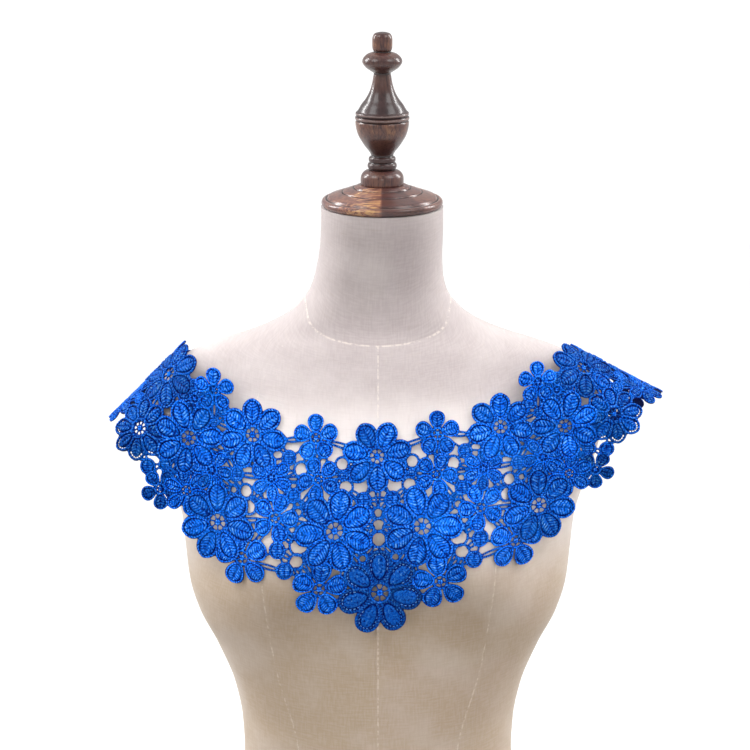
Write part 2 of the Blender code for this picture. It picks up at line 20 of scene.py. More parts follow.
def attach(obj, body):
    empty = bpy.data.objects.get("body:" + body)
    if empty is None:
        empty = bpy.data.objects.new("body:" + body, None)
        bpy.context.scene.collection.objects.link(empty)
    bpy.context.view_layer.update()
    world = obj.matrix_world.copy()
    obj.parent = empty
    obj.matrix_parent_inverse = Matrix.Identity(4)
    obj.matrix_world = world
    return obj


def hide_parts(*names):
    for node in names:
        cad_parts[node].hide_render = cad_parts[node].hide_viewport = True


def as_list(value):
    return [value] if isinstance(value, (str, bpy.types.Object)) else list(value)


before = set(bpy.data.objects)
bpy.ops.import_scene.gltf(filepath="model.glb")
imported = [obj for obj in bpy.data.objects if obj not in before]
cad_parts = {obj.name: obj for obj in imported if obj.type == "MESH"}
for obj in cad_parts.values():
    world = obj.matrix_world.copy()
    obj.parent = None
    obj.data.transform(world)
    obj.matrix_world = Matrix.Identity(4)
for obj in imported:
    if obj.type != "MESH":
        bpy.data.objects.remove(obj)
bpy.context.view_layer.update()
LOG = logging.getLogger("lace_collar")
METRES = 0.001
TURN = 2 * math.pi
Array = np.ndarray
Pair = tuple[float, float]
Triple = tuple[float, float, float]
Material = bpy.types.Material
Object = bpy.types.Object
Tree = bpy.types.NodeTree
Socket = bpy.types.NodeSocket

STITCH_MAP = "stitch"
MATHS = "ShaderNodeMath"
MIX = "ShaderNodeMix"
NOISE = "ShaderNodeTexNoise"
STEP = "ShaderNodeMapRange"
EASED = {"interpolation_type": "SMOOTHSTEP"}


# ---- small helpers
def linear(hex_colour: str) -> tuple[float, float, float, float]:
    """Turns an sRGB hex colour to linear light.

    Args:
        hex_colour: Six hex digits, such as "0B4FD2".

    Returns:
        Red, green, blue and an alpha of 1.
    """
    parts = [int(hex_colour[k:k + 2], 16) / 255 for k in (0, 2, 4)]
    red, green, blue = (c / 12.92 if c <= 0.04045 else ((c + 0.055) / 1.055) ** 2.4 for c in parts)
    return red, green, blue, 1.0


def feed(node: bpy.types.Node, inputs: Any) -> None:
    """Gives a node its values and links.

    Args:
        node: The node.
        inputs: Values, or the sockets that feed them, in order or by input name or number.
    """
    pairs = inputs.items() if isinstance(inputs, dict) else enumerate(inputs)
    for key, value in pairs:
        if isinstance(value, Socket):
            node.id_data.links.new(value, node.inputs[key])
        else:
            node.inputs[key].default_value = value


def add_node(tree: Tree, kind: str, inputs: Any = (), output: Any = 0, **settings: Any) -> Any:
    """Adds one shader node with its settings, values and links.

    Args:
        tree: The node tree.
        kind: Blender's name for the node's type.
        inputs: Values, or the sockets that feed them, in order or by input name or number.
        output: Name or number of the output that is wanted.
        settings: Properties of the node.

    Returns:
        That output's socket, or the node itself where it has no output.
    """
    node = tree.nodes.new(kind)
    for name, value in settings.items():
        setattr(node, name, value)
    feed(node, inputs)
    return node.outputs[output] if len(node.outputs) else node


def new_material(name: str) -> tuple[Material, Tree, bpy.types.Node]:
    """Makes an empty node material with a Principled shader on its output.

    Args:
        name: The material's name.

    Returns:
        The material, its node tree and its shader.
    """
    made = bpy.data.materials.new(name)
    made.use_nodes = True
    made.node_tree.nodes.clear()
    surface = add_node(made.node_tree, "ShaderNodeBsdfPrincipled")
    add_node(made.node_tree, "ShaderNodeOutputMaterial", {"Surface": surface})
    return made, made.node_tree, surface.node


class Tint(NamedTuple):
    """A colour laid over a finish: its share goes from least to most as a value rises."""

    value: Socket
    low: float
    high: float
    colour: str
    most: float = 1.0
    least: float = 0.0


def tinted(tree: Tree, colour: Any, tints: Sequence[Tint]) -> Socket:
    """Lays colours over one another.

    Args:
        tree: The node tree.
        colour: The first colour, or its socket.
        tints: The colours that are laid over it, in order.

    Returns:
        The finished colour's socket.
    """
    for tint in tints:
        share = add_node(tree, STEP, (tint.value, tint.low, tint.high, tint.least, tint.most), **EASED)
        colour = add_node(tree, MIX, {0: share, 6: colour, 7: linear(tint.colour)}, output=2,
                          data_type="RGBA")
    return colour


def smooth_step(value: Any) -> Any:
    """Eases a value from 0 to 1 with flat ends, and holds it there."""
    share = np.clip(value, 0, 1)
    return share * share * (3 - 2 * share)


def monotone(rows: Sequence[float], values: Sequence[float], at: Any) -> Array:
    """Smooth curve through the rows that never overshoots them.

    Args:
        rows: Rising places of the known values.
        values: The known values.
        at: Where the curve is read.

    Returns:
        The curve's values there.
    """
    rows, values = np.asarray(rows, float), np.asarray(values, float)
    step = np.diff(rows)
    slope = np.diff(values) / step
    tangent = np.zeros_like(values)
    before, after = 2 * step[1:] + step[:-1], step[1:] + 2 * step[:-1]
    same = slope[:-1] * slope[1:] > 0
    tangent[1:-1][same] = (before + after)[same] / (
        before[same] / slope[:-1][same] + after[same] / slope[1:][same])
    tangent[0] = slope[0]
    at = np.clip(at, rows[0], rows[-1])
    i = np.clip(np.searchsorted(rows, at, side="right") - 1, 0, len(rows) - 2)
    t = (at - rows[i]) / step[i]
    return ((1 + 2 * t) * (1 - t) ** 2 * values[i] + t * (1 - t) ** 2 * step[i] * tangent[i]
            + t * t * (3 - 2 * t) * values[i + 1] + t * t * (t - 1) * step[i] * tangent[i + 1])


def run_along(line: Array) -> Array:
    """Length from a line's start to each of its points."""
    return np.concatenate([[0], np.cumsum(np.linalg.norm(np.diff(line, axis=0), axis=1))])


class Shell:
    """Points, faces, stitch coordinates and marks of one mesh while it is being made."""

    def __init__(self) -> None:
        """Starts with nothing in it."""
        self.points: list[Array] = []
        self.faces: list[Array] = []
        self.stitches: list[Array] = []
        self.marks: dict[str, list[Array]] = {}
        self.count = 0

    def add(self, points: Array, faces: Sequence[Array], stitches: Sequence[Array],
            **marks: Any) -> None:
        """Adds one closed shell.

        Args:
            points: Its points, one a row.
            faces: Arrays of faces, each array of one corner count.
            stitches: For each array of faces, the stitch coordinates of its corners, in mm.
            marks: Named numbers for its points.
        """
        self.points.append(points)
        self.faces += [np.asarray(part, int) + self.count for part in faces]
        self.stitches += [np.asarray(part, float) for part in stitches]
        for name, values in marks.items():
            self.marks.setdefault(name, []).append(np.broadcast_to(values, len(points)))
        self.count += len(points)

    def add_skin(self, points: Array, across: Array, up: Array, **marks: Any) -> None:
        """Adds a skin of rings, closed by a flat face at its foot and one at its top.

        Args:
            points: Its points by ring and column.
            across: Stitch coordinate round each ring, with one more column that closes it.
            up: Stitch coordinate up the rings, likewise.
            marks: Named numbers for its points.
        """
        rings, columns = points.shape[:2]
        i, j = np.meshgrid(np.arange(rings - 1), np.arange(columns), indexing="ij")
        quads, stitches = [], []
        for a, b in ((0, 0), (0, 1), (1, 1), (1, 0)):
            quads.append(((i + a) * columns + (j + b) % columns).ravel())
            # The second half counts back from the first column, so the two sides match.
            whole = np.where(j >= columns // 2, across[i + a, columns], 0)
            stitches.append(np.stack([(across[i + a, j + b] - whole).ravel(),
                                      up[i + a, j + b].ravel()], -1))
        flat = points.reshape(-1, 3)
        ends = [np.arange(columns)[::-1], (rings - 1) * columns + np.arange(columns)]
        self.add(flat, [np.stack(quads, -1), *(end[None] for end in ends)],
                 [np.stack(stitches, 1), *(flat[end][None, :, :2] for end in ends)], **marks)

    def build(self, name: str, material: Material, points: Optional[Array] = None,
              crease: Optional[float] = None) -> Object:
        """Makes the object.

        Args:
            name: The piece's name.
            material: Its finish.
            points: The final points in mm, where they aren't the ones that were added.
            crease: Edges sharper than this angle, in degrees, stay sharp.

        Returns:
            The new object, in the scene.
        """
        points = np.concatenate(self.points) if points is None else points
        mesh = bpy.data.meshes.new(name)
        corners = np.concatenate([part.ravel() for part in self.faces])
        sizes = np.concatenate([np.full(len(part), part.shape[1]) for part in self.faces])
        starts = np.concatenate([[0], np.cumsum(sizes)[:-1]])
        mesh.vertices.add(len(points))
        mesh.vertices.foreach_set("co", (points * METRES).astype(np.float32).ravel())
        mesh.loops.add(len(corners))
        mesh.loops.foreach_set("vertex_index", corners.astype(np.int32))
        mesh.polygons.add(len(sizes))
        mesh.polygons.foreach_set("loop_start", starts.astype(np.int32))
        mesh.update(calc_edges=True)
        uv = mesh.uv_layers.new(name=STITCH_MAP)
        flat = np.concatenate([part.reshape(-1, 2) for part in self.stitches])
        uv.data.foreach_set("uv", flat.astype(np.float32).ravel())
        for mark, values in self.marks.items():
            layer = mesh.attributes.new(mark, "FLOAT", "POINT")
            layer.data.foreach_set("value", np.concatenate(values).astype(np.float32))
        mesh.polygons.foreach_set("use_smooth", np.ones(len(sizes), bool))
        if crease is not None:
            mesh.set_sharp_from_angle(angle=math.radians(crease))
        mesh.validate()
        mesh.materials.append(material)
        made = bpy.data.objects.new(name, mesh)
        bpy.context.scene.collection.objects.link(made)
        LOG.info("%s: %d triangles", name, int((sizes - 2).sum()))
        return made


# ---- finishes
@dataclass(frozen=True)
class DyedThread:
    """Mercerised cotton embroidery thread, dyed royal blue and laid as satin stitch.

    Satin stitch lies in parallel floats, and its colour is painted from the relief mark: the rib crests
    get a painted highlight in a clear lighter blue with pale glints, and the grooves between the
    threads and the sides of the cords get painted shade in a much deeper blue. The dye takes most
    of the surface's gloss, so no white shine is left on it.
    """

    name: str = "dyed_embroidery_thread"
    body: str = "0974FA"
    # Painted light: the crest and glint colours are painted highlights, and the deep colour is painted
    # shade.
    crest_highlight: str = "68BAFF"
    deep_shade: str = "011E7C"
    # Lighter worn patches of the dyed thread, at random.
    worn_and_shaded: str = "188AFF"
    glint: str = "B4D8FF"
    roughness: float = 0.5
    gloss: float = 0.05
    thread_mm: float = 0.7  # real floats lie 0.3 mm apart, which is too fine to show
    thread_height: float = 0.08
    wander_mm: float = 0.5  # how far a float strays from its line
    wanders: float = 900.0  # strays to the metre
    fleck_mm: float = 1.8
    fleck_height: float = 2.5
    patch_mm: float = 24.0
    least_value: float = 0.75
    tone_value: float = 0.5
    bump: float = 0.6
    bump_depth: float = 0.00016

    def make(self) -> Material:
        """Makes the material.

        Returns:
            The material, which reads the relief and tone marks of each point.
        """
        made, tree, shader = new_material(self.name)
        place = add_node(tree, "ShaderNodeTexCoord", output="Object")
        stitch = add_node(tree, "ShaderNodeUVMap", uv_map=STITCH_MAP)
        along = add_node(tree, "ShaderNodeSeparateXYZ", (stitch,))
        relief, tone = (add_node(tree, "ShaderNodeAttribute", output="Fac", attribute_name=mark)
                        for mark in ("relief", "tone"))
        wander = add_node(tree, NOISE, {"Vector": place, "Scale": self.wanders, "Detail": 2.0})
        patch, fleck = (add_node(tree, NOISE, {"Vector": place, "Scale": 1 / METRES / size,
                                               "Detail": 2.0, "Roughness": 0.65})
                        for size in (self.patch_mm, self.fleck_mm))
        along = add_node(tree, MATHS, (wander, self.wander_mm, along), operation="MULTIPLY_ADD")
        along = add_node(tree, MATHS, (along, TURN / self.thread_mm), operation="MULTIPLY")
        floats = add_node(tree, MATHS, (along,), operation="SINE")
        height = add_node(tree, MATHS, (floats, self.thread_height, relief), operation="MULTIPLY_ADD")
        uneven = add_node(tree, MATHS, (fleck, 0.5), operation="SUBTRACT")
        height = add_node(tree, MATHS, (uneven, self.fleck_height, height), operation="MULTIPLY_ADD")
        # The height mark paints light: painted shade in the grooves and on low thread, and a painted
        # highlight and glints on the crests.
        colour = tinted(tree, linear(self.deep_shade), (
            Tint(height, 0.1, 0.6, self.body),
            Tint(height, 0.68, 1.2, self.crest_highlight),
            Tint(height, 1.05, 1.45, self.glint, most=0.6),
            # Lighter worn patches, at random.
            Tint(patch, 0.45, 0.75, self.worn_and_shaded, most=0.25)))
        # The tone mark sets the value. It carries the flowers' painted shade and the darker painted shade
        # of the ground and net.
        value = add_node(tree, MATHS, (tone, self.tone_value, self.least_value),
                         operation="MULTIPLY_ADD")
        fine = add_node(tree, MATHS, (fleck, 1.6, floats), operation="MULTIPLY_ADD")
        feed(shader, {
            "Base Color": add_node(tree, "ShaderNodeHueSaturation", {"Value": value, "Color": colour}),
            "Roughness": add_node(tree, MATHS, (fleck, 0.3, self.roughness - 0.15),
                                  operation="MULTIPLY_ADD"),
            "Normal": add_node(tree, "ShaderNodeBump", {
                "Height": fine, "Strength": self.bump, "Distance": self.bump_depth}),
            "IOR": 1.5, "Specular IOR Level": self.gloss})
        return made


@dataclass(frozen=True)
class WovenLinen:
    """Undyed linen in plain weave, cut in panels and stretched over the form.

    Flax yarn varies in thickness, so the eye sees slubs and a soft cross-hatch. Light and shade are
    painted by height: the upper chest is painted lighter where the light falls from above, the
    shoulders and neck greyer and darker as painted shade, and the lower panels a darker ecru,
    the flax's colour with painted shade. Pale stitches show as dashes along the pressed seams.
    """

    name: str = "woven_linen_cover"
    # Painted light and shade: the neck colour is painted shade, the chest colour painted light, and the
    # ecru the flax's colour darkened as painted shade.
    worn_and_shaded: str = "B6ABAA"
    lit_chest: str = "E6DDD9"
    shaded_ecru: str = "BBA68E"
    slub: str = "AD9D8E"
    bright: str = "EFE8E4"
    seam: str = "EFE6DA"
    neck_shade_above: float = 0.585  # heights in metres, like the three below
    lit_chest_below: float = 0.53
    lit_chest_above: float = 0.48
    shaded_ecru_below: float = 0.40
    yarn_mm: float = 1.5  # real yarn lies 0.6 mm apart, which is too fine to show
    slub_mm: float = 2.6
    yarn_length: float = 0.13  # a yarn's thickness changes this much more slowly along it
    blotches: float = 16.0  # to the metre, like the dashes
    dashes: float = 320.0
    roughness: float = 0.86
    bump: float = 0.22
    bump_depth: float = 0.0003

    def make(self) -> Material:
        """Makes the material.

        Returns:
            The material, which reads each point's distance from the nearest seam.
        """
        made, tree, shader = new_material(self.name)
        place = add_node(tree, "ShaderNodeTexCoord", output="Object")
        stitch = add_node(tree, "ShaderNodeUVMap", uv_map=STITCH_MAP)
        yarns = []
        for across, up in ((1.0, self.yarn_length), (self.yarn_length, 1.0)):
            for yarn in (self.yarn_mm, self.slub_mm):
                run = add_node(tree, "ShaderNodeVectorMath", (stitch, (across / yarn, up / yarn, 1.0)),
                               operation="MULTIPLY")
                yarns.append(add_node(tree, NOISE, {"Vector": run, "Scale": 1.0, "Detail": 2.0}))
        weave = add_node(tree, MATHS, (yarns[0], yarns[2]), operation="ADD")
        slub = add_node(tree, MATHS, (yarns[1], yarns[3]), operation="MAXIMUM")
        blotch = add_node(tree, NOISE, {"Vector": place, "Scale": self.blotches, "Detail": 3.0})
        up = add_node(tree, "ShaderNodeSeparateXYZ", (place,), output=2)
        # Painted light and shade by height: lighter on the chest, darker on the neck and low down.
        colour = tinted(tree, linear(self.shaded_ecru), (
            Tint(up, self.shaded_ecru_below, self.lit_chest_above, self.lit_chest),
            Tint(up, self.lit_chest_below, self.neck_shade_above, self.worn_and_shaded),
            Tint(slub, 0.56, 0.78, self.slub, most=0.17),
            Tint(weave, 0.75, 1.3, self.bright, most=0.13),
            Tint(blotch, 0.42, 0.7, self.bright, most=0.2)))
        seam = add_node(tree, "ShaderNodeAttribute", output="Fac", attribute_name="seam")
        dash = add_node(tree, NOISE, {"Vector": place, "Scale": self.dashes})
        beside = add_node(tree, STEP, (seam, 0.2, 1.0, 0.5, 0.0), **EASED)
        dashed = add_node(tree, STEP, (dash, 0.4, 0.6), **EASED)
        sewn = add_node(tree, MATHS, (beside, dashed), operation="MULTIPLY")
        weave = add_node(tree, MATHS, (weave, 1.5), operation="MULTIPLY")
        height = add_node(tree, MATHS, (slub, 1.5, weave), operation="MULTIPLY_ADD")
        feed(shader, {
            "Base Color": add_node(tree, MIX, {0: sewn, 6: colour, 7: linear(self.seam)}, output=2,
                                   data_type="RGBA"),
            "Normal": add_node(tree, "ShaderNodeBump", {
                "Height": height, "Strength": self.bump, "Distance": self.bump_depth}),
            "Roughness": self.roughness, "IOR": 1.5, "Specular IOR Level": 0.3,
            "Sheen Weight": 0.3, "Sheen Roughness": 0.5})
        return made


@dataclass(frozen=True)
class TurnedBeech:
    """Beech turned on a lathe, stained dark walnut and rubbed with satin lacquer.

    The lacquer gives soft bright highlights on the beads, and the stain sinks deeper in the open
    grain, with warmer brown and ochre where it was rubbed thin. The colour is darker in the sharp
    grooves, and a pale tint along the sharp convex edges is a painted highlight.
    """

    name: str = "stained_turned_beech"
    stain: str = "4A2E2D"
    thin: str = "805747"
    ochre: str = "A98657"
    dark: str = "1C1012"
    # Painted highlight along the sharp convex edges.
    edge: str = "B09892"
    roughness: float = 0.38
    grain_mm: float = 1.3
    figures: float = 75.0  # bands of the figure to the metre
    along: Triple = (1.0, 1.0, 0.06)  # the grain runs up the axis
    bump: float = 0.2
    bump_depth: float = 0.0002

    def make(self) -> Material:
        """Makes the material.

        Returns:
            The material, which reads each point's relief mark, and its tone mark as warmth.
        """
        made, tree, shader = new_material(self.name)
        place = add_node(tree, "ShaderNodeTexCoord", output="Object")
        run = add_node(tree, "ShaderNodeVectorMath", (place, self.along), operation="MULTIPLY")
        grain = add_node(tree, NOISE, {"Vector": run, "Scale": 1 / METRES / self.grain_mm,
                                       "Detail": 4.0, "Roughness": 0.6})
        figure = add_node(tree, NOISE, {"Vector": run, "Scale": self.figures, "Detail": 3.0,
                                        "Distortion": 0.2})
        groove, warm = (add_node(tree, "ShaderNodeAttribute", output="Fac", attribute_name=mark)
                        for mark in ("relief", "tone"))
        colour = tinted(tree, linear(self.stain), (
            Tint(figure, 0.35, 0.65, self.dark, most=0.6),
            Tint(warm, 0.0, 0.4, self.dark, most=0.0, least=0.55)))
        both = add_node(tree, MATHS, (figure, grain), operation="ADD")
        open_grain = add_node(tree, STEP, (both, 0.75, 1.25), **EASED)
        rubbed = add_node(tree, MATHS, (open_grain, warm), operation="MULTIPLY")
        colour = add_node(tree, MIX, {0: rubbed, 6: colour, 7: linear(self.thin)}, output=2,
                          data_type="RGBA")
        colour = tinted(tree, colour, (
            Tint(rubbed, 0.6, 1.5, self.ochre, most=0.85),
            Tint(grain, 0.36, 0.46, self.dark, most=0.0, least=0.35),
            Tint(groove, 0.0, 0.42, self.dark, most=0.0, least=0.85),
            # A painted highlight on the sharp convex edges.
            Tint(groove, 0.86, 1.0, self.edge, most=0.45)))
        feed(shader, {
            "Base Color": colour,
            "Roughness": add_node(tree, MATHS, (grain, 0.2, self.roughness - 0.1),
                                  operation="MULTIPLY_ADD"),
            "Normal": add_node(tree, "ShaderNodeBump", {
                "Height": grain, "Strength": self.bump, "Distance": self.bump_depth}),
            "IOR": 1.52, "Specular IOR Level": 0.2, "Coat Weight": 0.5, "Coat Roughness": 0.2})
        return made


@dataclass(frozen=True)
class MattPaper:
    """White seamless background paper, which gives an even pale floor with soft shadows."""

    name: str = "seamless_paper"
    white: str = "FAFAFA"
    roughness: float = 0.9
    glow: float = 0.16  # the far paper is lit past white by lamps of its own
    glow_from: float = 1.4  # metres from the form, like the next
    glow_to: float = 4.0

    def make(self) -> Material:
        """Makes the material.

        Returns:
            The material.
        """
        made, tree, shader = new_material(self.name)
        place = add_node(tree, "ShaderNodeTexCoord", output="Object")
        away = add_node(tree, "ShaderNodeVectorMath", (place,), output="Value", operation="LENGTH")
        glow = add_node(tree, STEP, (away, self.glow_from, self.glow_to, 0.0, self.glow), **EASED)
        feed(shader, {"Base Color": linear(self.white), "Roughness": self.roughness,
                      "Emission Color": linear(self.white), "Emission Strength": glow})
        return made


# ---- the dress form
class Level(NamedTuple):
    """One section of the form: its height, half width, depths, middle line and roundness."""

    height: float
    half_width: float
    front: float
    back: float
    middle: float
    power: float


FORM_LEVELS = [Level(*row) for row in (
    (0, 160, 106, 112, 0, 2.25), (50, 165, 108, 118, 0, 2.25),
    (105, 158, 102, 112, 0, 2.2), (165, 140, 94, 100, 0, 2.15),
    (210, 125, 86, 88, 0, 2.1), (243, 120, 82, 80, 0, 2.1),
    (270, 121.5, 82, 80, 0, 2.1), (302, 128, 84, 82, 0, 2.15),
    (340, 143.5, 88, 86, 0, 2.2), (371, 159.5, 91, 90, 0, 2.25),
    (398, 167.5, 93, 93, 0, 2.25), (425, 170.5, 93, 96, 0, 2.25),
    (453, 173.5, 92, 98, 0, 2.2), (484, 182.5, 89, 99, 0, 2.15),
    (520, 195, 83, 96, 0, 2.1), (550, 200, 74, 87, 0, 2.0),
    (565, 197, 68, 80, 0, 1.9), (580, 188, 62, 72, 0, 1.82),
    (592, 176, 57, 66, 0, 1.76), (602, 162, 54, 62, 1, 1.74),
    (610, 141, 51, 60, 2, 1.76), (617, 117, 49, 58, 3, 1.82),
    (624, 98, 48, 55, 3, 1.9), (632, 82, 48, 52, 3, 2.0),
    (642, 69.5, 48, 50, 2, 2.0), (655, 60, 48, 48, 0, 2.0),
    (672, 55.5, 49, 47, -3, 2.0), (695, 53.4, 50, 48, -7, 2.0),
    (728, 53, 51, 50, -12, 2.0),
)]
NO_SEAM = 99.0  # the distance that is given where a seam isn't sewn


@dataclass
class DressForm:
    """The linen-covered limbless body that the collar lies on."""

    levels: list[Level] = field(default_factory=lambda: FORM_LEVELS)
    bust_apart: float = 86.0
    bust_height: float = 428.0
    bust_swell: float = 34.0
    bust_side: float = 48.0
    bust_above: float = 82.0
    bust_below: float = 52.0
    side_ease: int = 6  # how late the busts' swell dies away towards the sides
    neck_top: float = 728.0
    neck_tilt: float = math.radians(8.0)
    tilt_from: float = 645.0
    tilt_to: float = 715.0
    neck_lean: float = 3.6
    # The princess seams' distance from the middle at each height, from the hips to the shoulders.
    princess: tuple[Pair, ...] = (
        (0, 92), (243, 68), (340, 90), (428, 99), (560, 104), (610, 82), (640, 42), (728, 30))
    princess_range: Pair = (0.05, 0.95)  # shares of the half width
    princess_end: float = 612.0
    side_seam_end: float = 540.0
    neck_seam_front: float = 610.0
    neck_seam_rise: float = 38.0
    neck_seam_bend: float = 2.2
    seam_depth: float = 0.3
    seam_width: float = 0.7
    seam_reach: float = 30.0
    allowance: float = 4.0  # the pressed seam allowances lift the cover this far from each seam
    allowance_lift: float = 0.35
    allowance_width: float = 2.6
    panel_columns: int = 22
    rows_below: int = 172
    rows_above: int = 44
    # Shares of a panel, of the height below the neck's seam and of the neck, for close rows.
    beside_seam: tuple[float, ...] = (0.0, 0.011, 0.028, 0.055, 0.09)
    under_seam: tuple[float, ...] = (0.985, 0.991, 0.9955, 0.9985, 1.0)
    over_seam: tuple[float, ...] = (0.014, 0.035, 0.07)
    crease: float = 50.0

    def section(self, z: Any) -> list[Array]:
        """Half width, front, back, middle and power of the section at height z."""
        heights = [level.height for level in self.levels]
        return [monotone(heights, [level[k] for level in self.levels], z) for k in range(1, 6)]

    def swell(self, x: Array, z: Array) -> Array:
        """How far the two busts stand out of the plain section.

        Args:
            x: Places across.
            z: Heights.

        Returns:
            The distance forwards.
        """
        up = np.where(z > self.bust_height, (z - self.bust_height) / self.bust_above,
                      (z - self.bust_height) / self.bust_below)
        out = (np.abs(x) - self.bust_apart) / self.bust_side
        return self.bust_swell * np.exp(-out * out - up * up)

    def holds(self, points: Array) -> Array:
        """Whether each point lies in the form.

        Args:
            points: Places, one in each last row.

        Returns:
            True where the form is.
        """
        x, y, z = points[..., 0], points[..., 1], points[..., 2]
        half, front, back, middle, power = self.section(z)
        share = np.abs(x) / half
        inside = np.minimum(share, 1)
        depth = np.where(share < 1, np.maximum(1 - inside ** power, 0) ** (1 / power), np.nan)
        fore = middle - front * depth - self.swell(x, z) * (1 - inside ** self.side_ease)
        return (y > fore) & (y < middle + back * depth) & (z > 0) & (z < self.neck_top)

    def seam_height(self, angle: Array) -> Array:
        """Height of the neck's base seam round the form: lowest in front."""
        share = np.clip(1 + np.sin(angle), 0, 1)
        return self.neck_seam_front + self.neck_seam_rise * (1 - (1 - share) ** self.neck_seam_bend)

    def panel_angles(self, z: Array) -> Array:
        """Angles of the columns, with one on every seam and close pairs beside it.

        Args:
            z: Heights, one a row.

        Returns:
            One row of angles for each height, from the middle of the front once round the form.
        """
        half, power = self.section(z)[0], self.section(z)[4]
        heights, places = zip(*self.princess)
        out = np.clip(monotone(heights, places, z) / half, *self.princess_range)
        turn = np.arccos(out ** (power / 2))  # 0 is the side, a quarter turn the middle
        flat = 0 * turn
        stops = np.stack([flat - TURN / 4, -turn, flat, turn, flat + TURN / 4, math.pi - turn,
                          flat + math.pi, math.pi + turn, flat + 0.75 * TURN], -1)
        *near, far = self.beside_seam
        near = np.array(near)
        steps = np.concatenate([near, np.linspace(far, 1 - far, self.panel_columns), 1 - near[:0:-1]])
        parts = [stops[:, [k]] * (1 - steps) + stops[:, [k + 1]] * steps for k in range(8)]
        return np.concatenate(parts, 1)

    def skin(self, angle: Array, z: Array, out: Any = 0.0) -> Array:
        """Places on the cover.

        Args:
            angle: Angle round the section, with the front at minus a quarter turn.
            z: Height before the neck's top is tilted.
            out: How far the place stands out of the plain section.

        Returns:
            The places in mm.
        """
        half, front, back, middle, power = self.section(z)
        c, s = np.cos(angle), np.sin(angle)
        x = half * np.sign(c) * np.abs(c) ** (2 / power)
        y = middle + np.where(s > 0, back, front) * np.sign(s) * np.abs(s) ** (2 / power)
        y = y - np.where(s < 0, self.swell(x, z) * (1 - (np.abs(x) / half) ** self.side_ease), 0)
        reach = np.hypot(x, y - middle)
        x, y = x * (1 + out / reach), middle + (y - middle) * (1 + out / reach)
        share = smooth_step((z - self.tilt_from) / (self.tilt_to - self.tilt_from))
        tilted = z + (y - middle) * math.tan(self.neck_tilt) * share
        return np.stack([x + self.neck_lean * share, y, tilted], -1)

    def grid(self) -> tuple[Array, Array, Array]:
        """Where the cover's points lie, with close rows and columns beside the seams.

        Returns:
            Each point's angle, its height, and the height of the neck's seam at its angle.
        """
        under, over = self.under_seam, self.over_seam
        below = np.concatenate([np.linspace(0, under[0], self.rows_below), under[1:]])
        above = np.concatenate([over[:-1], np.linspace(over[-1], 1, self.rows_above)])
        guess = np.concatenate([below * (self.neck_seam_front + self.neck_seam_rise),
                                self.neck_seam_front + above * (self.neck_top - self.neck_seam_front)])
        angle = self.panel_angles(guess)
        seam_z = self.seam_height(angle)
        low, high = seam_z[:len(below)], seam_z[len(below):]
        z = np.concatenate([below[:, None] * low, high + above[:, None] * (self.neck_top - high)])
        return angle, z, seam_z

    def seam_distance(self, angle: Array, z: Array, seam_z: Array) -> Array:
        """Distance from the nearest seam: middle, princess, side or neck.

        Args:
            angle: Each point's angle.
            z: Its height.
            seam_z: The height of the neck's seam at its angle.

        Returns:
            The distances.
        """
        plain = self.skin(angle, z)
        heights, places = zip(*self.princess)
        aside, y = np.abs(plain[..., 0]), plain[..., 1]
        princess = np.abs(aside - monotone(heights, places, z))
        return np.min([np.where((z > seam_z) & (y < 0), NO_SEAM, aside),
                       np.where(z < self.princess_end, princess, NO_SEAM),
                       np.where(z < self.side_seam_end, np.abs(y), NO_SEAM),
                       np.abs(z - seam_z)], axis=0)

    def build(self, material: Material) -> Object:
        """Makes the sewn cover as one closed skin with its seams pressed in.

        Args:
            material: The linen.

        Returns:
            The cover.
        """
        angle, z, seam_z = self.grid()
        seam = self.seam_distance(angle, z, seam_z)
        rise = -self.seam_depth * np.exp(-(seam / self.seam_width) ** 2)
        rise += self.allowance_lift * np.exp(-((seam - self.allowance) / self.allowance_width) ** 2)
        rise[0] = 0
        points = self.skin(angle, z, rise)
        closed = np.concatenate([points, points[:, :1]], 1)
        steps = np.linalg.norm(np.diff(closed, axis=1), axis=2)
        across = np.pad(np.cumsum(steps, axis=1), ((0, 0), (1, 0)))
        climb = np.linalg.norm(np.diff(points, axis=0), axis=2).mean(axis=1)
        up = np.pad(np.cumsum(climb), (1, 0))[:, None] + 0 * across
        shell = Shell()
        shell.add_skin(points, across, up, seam=np.minimum(seam, self.seam_reach).ravel())
        return shell.build("linen_cover", material, crease=self.crease)


